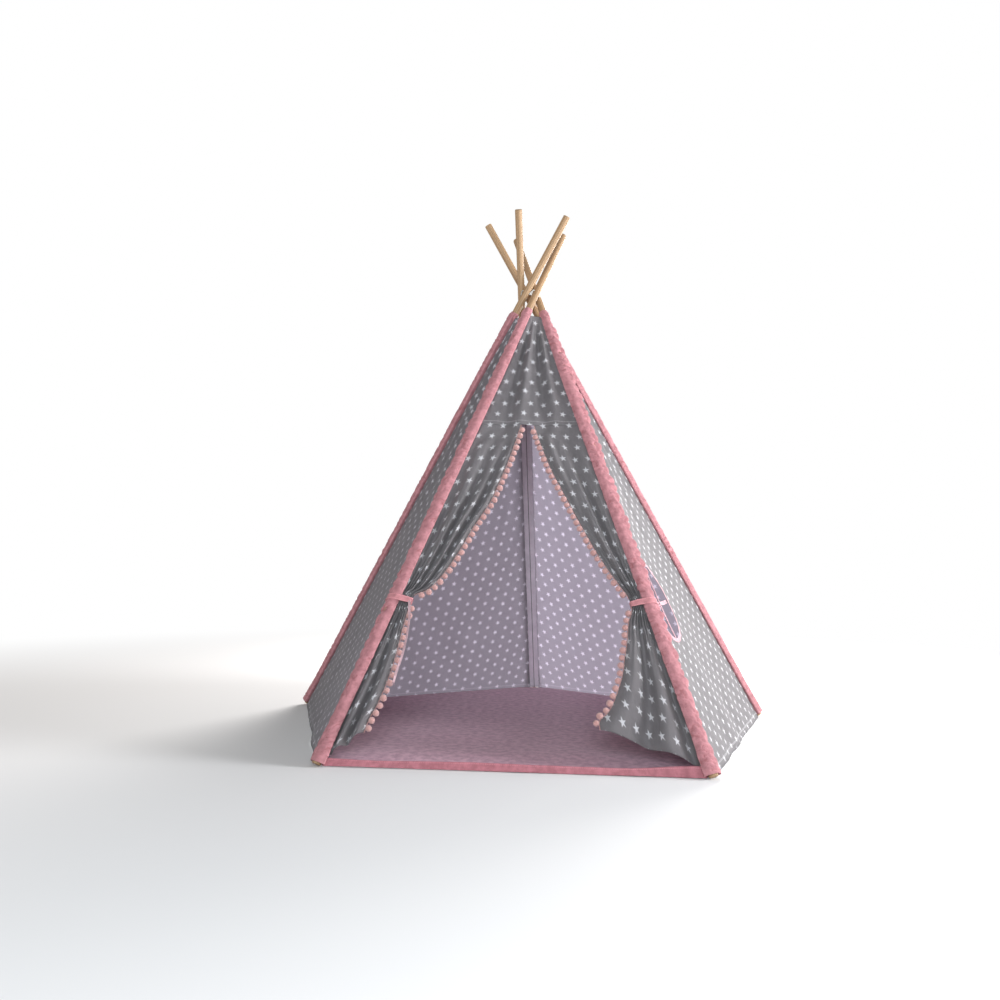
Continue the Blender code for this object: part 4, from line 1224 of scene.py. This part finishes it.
curtain_cotton = star_finish("star_cotton_curtains", CLOTH_GREY, STAR_PALE, 0.20)
for side, (second, rows, *_) in curtains.items():
    top_edge, low_edge = rows[0, 0], rows[-1, 0]
    flat_rows = np.linspace(top_edge, low_edge, CURTAIN_ROWS + 1)
    across = np.linspace(0.0, 1.0, CURTAIN_COLUMNS + 1)
    arcs = []
    for edge_height in flat_rows:
        line = curtain_shape(side, across, np.full_like(across, edge_height))
        arcs.append(run_along(line))
    arcs = np.array(arcs)
    run_down = np.concatenate([[0.0], np.cumsum(np.abs(np.diff(flat_rows)) * rise_per_height)])
    yoke_hem = (DOOR_HEIGHT + CURTAIN_TUCK - HEM_HEIGHT) * rise_per_height

    def curtain_place(u, v):
        return curtain_shape(side, u, top_edge + (low_edge - top_edge) * v)

    def curtain_flat(u, v, points):
        row, column = step_at(v, CURTAIN_ROWS), step_at(u, CURTAIN_COLUMNS)
        measure = (arcs[row, column] - yoke_widths[1] / 2) * CURTAIN_GATHER
        return np.stack([-measure if second else measure, yoke_hem - run_down[row]], axis=1)

    curtain = laid_grid(f"curtain_{side}_gathered", CURTAIN_COLUMNS, CURTAIN_ROWS, curtain_place, curtain_flat)
    if second:
        curtain.data.flip_normals()
    thicken(curtain, CLOTH)
    dress(curtain, curtain_cotton, "star_cotton", "face_front", f"curtain_{side}")
    follow_face(curtain, 0)


# Pompom trim: wool balls wound tight and clipped round, sewn touching each other on a fine braid along the free edge
# of each curtain, above and below its tieback
POMPOM_RADIUS = 0.0085
POMPOM_PITCH = 0.020
BRAID_RADIUS = 0.0011
POMPOM_SUNK = 0.0006
TRIM_STEPS = 160
WOOL = (0.58, 0.285, 0.260)


def wool_finish():
    made = new_material("pompom_wool")
    place = Wire.node("ShaderNodeTexCoord", out=3)
    tufts = Wire.node("ShaderNodeTexVoronoi", i0=place, Scale=620.0)
    fluff = noise_at(place, 420.0, detail=4.0, roughness=0.7)
    batch = noise_at(place, 22.0, detail=1.0)
    shade = fluff.ramp(0.3, 0.7).blend(times(WOOL, 0.78), paler(WOOL, 1.22))
    shade = batch.ramp(0.35, 0.65, 0.0, 0.5).blend(shade, (0.66, 0.335, 0.30))
    # Painted shade: the wool is darker between the tufts, where the relief is lowest.
    shade = tufts.ramp(0.0, 0.55, 0.0, 0.35).blend(shade, times(WOOL, 0.55))
    relief = bump(fluff * 0.7 + (1.0 - tufts) * 0.6, 0.0011, 0.9)
    surface(Wire.node(
        "ShaderNodeBsdfPrincipled", Base_Color=shade, Roughness=1.0, Normal=relief,
        Sheen_Weight=0.45, Sheen_Roughness=0.7,
    ))
    return made


wool = wool_finish()
bpy.ops.object.select_all(action="DESELECT")
bpy.ops.mesh.primitive_ico_sphere_add(subdivisions=3, radius=POMPOM_RADIUS)
ball = bpy.context.object
ball_points = points_of(ball)
tuft = wrinkle(ball_points[:, 0] / 0.0030, ball_points[:, 1] / 0.0030 + ball_points[:, 2] / 0.0027, 3)
move_points(ball, ball_points * (0.985 + 0.09 * tuft)[:, None])
ball_points = points_of(ball)

door_outward = cover_place(0, chord_length(0, np.array([TIE_HEIGHT])) / 2, np.array([TIE_HEIGHT]))[1][0]
for side, (second, _, hem_at_edge, *_) in curtains.items():
    facing = door_outward if second else -door_outward
    half = STRAP_WIDTH / 2 + TIE_CLEAR
    door_top = DOOR_HEIGHT - SEAM_GAP
    for stretch, high, low in (("upper", door_top, TIE_HEIGHT + half), ("lower", TIE_HEIGHT - half, hem_at_edge)):
        edge_heights = np.linspace(high, low, TRIM_STEPS)
        edge_line = curtain_shape(side, np.ones_like(edge_heights), edge_heights)
        headings = unit(np.gradient(edge_line, axis=0))
        outside = unit(np.cross(headings, facing))
        centres = edge_line + outside * (POMPOM_RADIUS - POMPOM_SUNK)
        lengths = run_along(centres)
        count = int((lengths[-1] - POMPOM_RADIUS * 2) / POMPOM_PITCH) + 1
        places = (lengths[-1] - (count - 1) * POMPOM_PITCH) / 2 + np.arange(count) * POMPOM_PITCH
        braid = tube(f"pompoms_{side}_{stretch}_sewn", edge_line + outside * BRAID_RADIUS, BRAID_RADIUS, 8)
        balls = []
        for number, place_along in enumerate(places):
            centre = place_at(place_along, lengths, centres)
            copy = ball.copy()
            copy.data = ball.data.copy()
            bpy.context.collection.objects.link(copy)
            spin = np.array(Matrix.Rotation(2.4 * number + 1.1 * second, 3, Vector((0.3, 0.5, 0.8)).normalized()))
            size = 1.0 + 0.07 * math.sin(number * 2.7 + second)
            move_points(copy, ball_points @ spin.T * size + centre)
            balls.append(copy)
        join([*balls, braid], braid)
        dress(braid, wool, "pompom_wool", "face_front", f"pompoms_{side}_{stretch}")
        only(braid)
        bpy.ops.object.shade_smooth()
        follow_face(braid, 0)
bpy.data.objects.remove(ball)


# Tiebacks: folded strips of pink cotton sewn into the seam outside each front sleeve. They pass round the sleeve and
# the gathered curtain and back into the seam.
STRAP_THICKNESS = 0.0015
STRAP_GAP = 0.0006
STRAP_STEPS = 220
STRAP_ROWS = 12
STRAP_SLANT = 0.0075
STRAP_SMOOTHING = 14
GATHER_DEEP = 0.0102
SEAM_WAY_DEG = 108.0

tie_height = np.array([TIE_HEIGHT])
tie_below = below_crossing(tie_height)


def outline_round(places):
    """Convex outline of places in a plane, anticlockwise."""
    ordered = sorted(map(tuple, places))

    def half_of(sequence):
        chain = []
        for x, y in sequence:
            while len(chain) > 1:
                (ax, ay), (bx, by) = chain[-2:]
                if (bx - ax) * (y - ay) - (by - ay) * (x - ax) > 0:
                    break
                chain.pop()
            chain.append((x, y))
        return chain

    return np.array(half_of(ordered)[:-1] + half_of(ordered[::-1])[:-1])


def strap_path(second):
    """The strap's middle line round the sleeve and the curtain: distance from the pole's axis, and out of the face."""
    pole = 1 if second else 0
    along = curtain_side(second, tie_height)[0]
    outward = cover_place(0, chord_length(0, tie_height) if second else np.zeros(1), tie_height)[1][0]
    turns = np.linspace(0.0, math.tau, 48, endpoint=False)
    ways = along * np.cos(turns)[:, None] + outward * np.sin(turns)[:, None]
    reach = sleeve_reach(pole, ways, np.broadcast_to(tie_below, turns.shape)) + STRAP_GAP + STRAP_THICKNESS / 2
    around_sleeve = np.stack([reach * np.cos(turns), reach * np.sin(turns)], axis=1)
    far = TIE_GATHER + 0.0012
    around_cloth = np.array([(far, s * 0.0072) for s in (-1, 1)] + [(far - 0.006, s * GATHER_DEEP) for s in (-1, 1)])
    corners = outline_round(np.vstack([around_sleeve, around_cloth]))
    loop = np.vstack([corners, corners[:1]])
    run = run_along(loop)
    evenly = np.linspace(0.0, run[-1], STRAP_STEPS * 2, endpoint=False)
    ring = place_at(evenly, run, loop)
    for _ in range(STRAP_SMOOTHING):
        ring = (np.roll(ring, 1, axis=0) + 2 * ring + np.roll(ring, -1, axis=0)) / 4
    seam = np.radians(-SEAM_WAY_DEG)
    off_seam = np.abs(ring[:, 0] * math.sin(seam) - ring[:, 1] * math.cos(seam))
    behind = ring @ np.array([math.cos(seam), math.sin(seam)]) > 0
    start = int(np.argmin(np.where(behind, off_seam, 1.0)))
    ring = np.roll(ring, -start, axis=0)
    open_steps = 6
    return ring[open_steps:-open_steps]


strap_cotton = pink_finish("pink_cotton_straps", (0.64, 0.27, 0.29), (0.0016, STRAP_WIDTH - 0.0016))
for side, (second, *_) in curtains.items():
    line = strap_path(second)
    run = run_along(line)
    steps_round = len(line) - 1

    def strap_place(u, v):
        step = step_at(u, steps_round)
        wide, out = line[step, 0], line[step, 1]
        lean = STRAP_SLANT * (0.30 - np.clip(wide / TIE_GATHER, -0.4, 1.0))
        crush = 0.0007 * wander(run[step], 31 + second, 0.012)
        rolled = 0.0007 * (2 * v - 1) ** 2 + 0.0005 * wrinkle(run[step] / 0.008, v * 1.5, 33 + second)
        narrow = 1 - 0.16 * hump(wide, TIE_GATHER, 0.010)
        high = TIE_HEIGHT + lean + crush + (0.5 - v) * STRAP_WIDTH * narrow
        away = unit(np.stack([wide - 0.018, out * 2.2], axis=1)) * rolled[:, None]
        return curtain_point(second, wide + away[:, 0], high, out + away[:, 1])

    def strap_flat(u, v, points):
        return np.stack([run[step_at(u, steps_round)], v * STRAP_WIDTH], axis=1)

    strap = laid_grid(f"tieback_{side}_sewn", steps_round, STRAP_ROWS, strap_place, strap_flat)
    face_outward(strap)
    thicken(strap, STRAP_THICKNESS * 0.8)
    dress(strap, strap_cotton, "pink_cotton", f"leg_front_{side}", f"tieback_{side}")


# Ribbon end: the loose tail of the left tieback, a narrow pale ribbon that comes out under the strap, hangs down
# beside the curtain and is frayed where it was cut
RIBBON_WIDTH = 0.006
RIBBON_THICKNESS = 0.0007
RIBBON_DROP = 0.196
RIBBON_SWING = 0.053
RIBBON_OUT = 0.01135
RIBBON_ROUTE_SHARES = (
    (0.0, 0.0), (0.17, 0.095), (0.38, 0.22), (0.57, 0.37),
    (0.74, 0.54), (0.85, 0.69), (0.91, 0.85), (1.0, 1.0),
)
RIBBON_PALE = (0.66, 0.44, 0.47)

ribbon_route = np.array([
    (
        TIE_GATHER - RIBBON_WIDTH / 2 + RIBBON_SWING * swing,
        TIE_HEIGHT - STRAP_WIDTH / 2 - 0.0003 - RIBBON_DROP * drop, 0.0,
    )
    for swing, drop in RIBBON_ROUTE_SHARES
])
ribbon_line = smooth_through(ribbon_route, 0.0025)
ribbon_path = curtain_point(False, ribbon_line[:, 0], ribbon_line[:, 1], np.full(len(ribbon_line), RIBBON_OUT))
ribbon_run = run_along(ribbon_path)
ribbon_rows = len(ribbon_line) - 1


def ribbon_place(u, v):
    step = step_at(v, ribbon_rows)
    twist = 0.55 * np.sin(ribbon_run[step] * 21) * smooth_step(0.0, 0.05, ribbon_run[step])
    half = (u - 0.5) * RIBBON_WIDTH
    cup = 0.0003 * np.cos(u * math.tau)
    out = RIBBON_OUT + half * np.sin(twist) + cup
    return curtain_point(False, ribbon_line[step, 0] + half * np.cos(twist), ribbon_line[step, 1], out)


def ribbon_flat(u, v, points):
    return np.stack([ribbon_run[step_at(v, ribbon_rows)], u * RIBBON_WIDTH], axis=1)


ribbon_cotton = pink_finish("pink_cotton_ribbon", RIBBON_PALE)
ribbon = laid_grid("tieback_ribbon_cut", 6, ribbon_rows, ribbon_place, ribbon_flat)
thicken(ribbon, RIBBON_THICKNESS)
dress(ribbon, ribbon_cotton, "pink_cotton", "leg_front_left", "tieback_ribbon_end")

threads = []
for number in range(7):
    spread = (number - 3) / 3
    last = ribbon_line[-1]
    thread_steps = np.linspace(0.0, 1.0, 6)
    thread_x = last[0] + RIBBON_WIDTH * 0.42 * spread + 0.0035 * spread * thread_steps**2
    thread_z = last[1] + 0.0020 - (0.0075 + 0.002 * math.sin(number * 2.1)) * thread_steps
    thread_out = RIBBON_OUT + 0.0012 * math.sin(number * 1.7) * thread_steps
    threads.append(tube(f"thread_{number}", curtain_point(False, thread_x, thread_z, thread_out), 0.00035, 6))
join(threads, threads[0])
fray = threads[0]
fray.name = "tieback_ribbon_fray"
dress(fray, ribbon_cotton, "pink_cotton", "leg_front_left")


# Threshold: a strip of the pink cotton along the foot of the door, sewn to both front sleeves
BAND_HEIGHT = 0.018


def band_place(u, v):
    top = BAND_HEIGHT + 0.0025 * wander(u * 10, 61, 1.6) + 0.0090 * smooth_step(0.80, 1.0, u)
    height = top + (HEM_HEIGHT - top) * v
    start, end = cloth_edges(0, height)
    width = start + (end - start) * u
    x = u * (end - start)
    pinned = np.clip(seam_distance(u, start, end) / 0.02, 0.0, 1.0)
    out = pinned * (0.0035 * wrinkle(x / 0.07, v * 0.8, 62) + 0.0012 * wrinkle(x / 0.018, v * 1.4, 63))
    point, normal = cover_place(0, width, height)
    return point + normal * out[:, None]


def band_flat(u, v, points):
    return np.stack([u * 0.89, v * BAND_HEIGHT], axis=1)


band_cotton = pink_finish("pink_cotton_band", (0.56, 0.21, 0.245), (0.003,))
band = laid_grid("threshold_band_sewn", 320, 10, band_place, band_flat)
thicken(band, CLOTH * 1.2)
dress(band, band_cotton, "pink_cotton", "face_front", "threshold_band")
follow_face(band, 0)


# Floor mat: a thin wadded mat in dusty pink cotton with rounded corners, bound round its edge
MAT_GAP = 0.020
MAT_CORNER_RADIUS = 0.120
MAT_THICKNESS = 0.018
MAT_EDGE_HEIGHT = 0.006
MAT_CROWN_WIDTH = 0.120
MAT_COLUMNS = 300
MAT_ROWS = 90
MAT_PINK = (0.56, 0.33, 0.40)
BINDING_STEPS = 480
BINDING_OUT = 0.0008
BINDING_MIDDLE = 0.0035
BINDING_HALF_WIDE = 0.0016
BINDING_HALF_HIGH = 0.0031

mat_apothem = FOOT_RADIUS * math.cos(math.pi / 5) - 0.001 - MAT_GAP
foot_twist = math.asin(POLE_OFFSET / FOOT_RADIUS)
first_azimuth = math.atan2(OUTWARD[0, 1], OUTWARD[0, 0])
CORNER_STEPS = 24


def mat_outline(apothem, corner):
    places = []
    reach = (apothem - corner) / math.cos(math.pi / 5)
    for number in range(5):
        middle = first_azimuth + number * math.tau / 5 + foot_twist
        turns = middle + math.pi / 5 * np.linspace(-1, 1, CORNER_STEPS + 1)
        places.append(np.stack([
            reach * math.cos(middle) + corner * np.cos(turns), reach * math.sin(middle) + corner * np.sin(turns),
        ], axis=1))
    loop = np.vstack([*places, places[0][:1]])
    return loop, run_along(loop)


def outline_at(loop, run, share):
    return place_at(share * run[-1], run, loop)


mat_loop, mat_run = mat_outline(mat_apothem, MAT_CORNER_RADIUS)


def mat_place(u, v):
    over = np.clip(v / 0.80, 0.0, 1.0)
    under = np.clip((v - 0.90) / 0.10, 0.0, 1.0)
    edge = np.clip((v - 0.80) / 0.10, 0.0, 1.0)
    spread = (1 - (1 - over) ** 1.35) * (1 - under)
    rim = outline_at(mat_loop, mat_run, u)
    flat = rim * spread[:, None]
    inset = (1 - spread) * mat_apothem
    rise = 1 - (1 - np.clip(inset / MAT_CROWN_WIDTH, 0, 1)) ** 2
    crown = MAT_EDGE_HEIGHT + (MAT_THICKNESS - MAT_EDGE_HEIGHT) * rise
    soft = np.clip(inset / 0.05, 0, 1)
    folds = 0.0016 * wrinkle(flat[:, 0] / 0.16 + flat[:, 1] / 0.30, flat[:, 1] / 0.12, 71)
    folds += 0.0007 * wrinkle(flat[:, 0] / 0.045, flat[:, 1] / 0.045, 72)
    pulled = 0.0008 * np.exp(-inset / 0.03) * np.sin(math.tau * u * mat_run[-1] / 0.026)
    top = crown + (folds - 0.0010) * soft + pulled * soft
    height = np.where(edge > 0, (MAT_EDGE_HEIGHT - 0.0006) * (1 - edge), top)
    bulge = 1 - 0.0020 * np.abs(2 * edge - 1) ** 3 / mat_apothem
    flat = np.where((edge > 0)[:, None], rim * bulge[:, None] * (1 - under)[:, None], flat)
    return np.column_stack([flat, np.maximum(height, 0.0)])


def mat_flat(u, v, points):
    return points[:, :2]


mat_cotton = pink_finish("mat_cotton", MAT_PINK, sheer=0.0)
mat = laid_grid("floor_mat_wadded", MAT_COLUMNS, MAT_ROWS, mat_place, mat_flat, closed=True)
face_outward(mat)
dress(mat, mat_cotton, "mat_cotton", "floor", "floor_mat")

edge_rows = np.linspace(0.0, 1.0, BINDING_STEPS + 1)
binding_outline = mat_outline(mat_apothem + BINDING_OUT, MAT_CORNER_RADIUS + BINDING_OUT)
binding_line = np.column_stack([outline_at(*binding_outline, edge_rows), np.full_like(edge_rows, BINDING_MIDDLE)])


def binding_place(u, v):
    middle = binding_line[step_at(v, BINDING_STEPS) % BINDING_STEPS]
    outward = unit(np.column_stack([middle[:, :2], np.zeros(len(middle))]))
    pull = 1 + 0.07 * np.sin(math.tau * v * mat_run[-1] / 0.013)
    wide = np.cos(u * math.tau) * BINDING_HALF_WIDE * pull
    high = np.sin(u * math.tau) * BINDING_HALF_HIGH * pull
    return middle + outward * wide[:, None] + UP * high[:, None]


def binding_flat(u, v, points):
    return np.stack([v * mat_run[-1], u * 0.016], axis=1)


mat_edge = laid_grid("mat_binding_sewn", 12, BINDING_STEPS, binding_place, binding_flat, closed=True)
face_outward(mat_edge)
edge_cotton = pink_finish("mat_binding_cotton", (0.52, 0.20, 0.235), (0.006,))
dress(mat_edge, edge_cotton, "pink_cotton", "floor", "mat_binding")
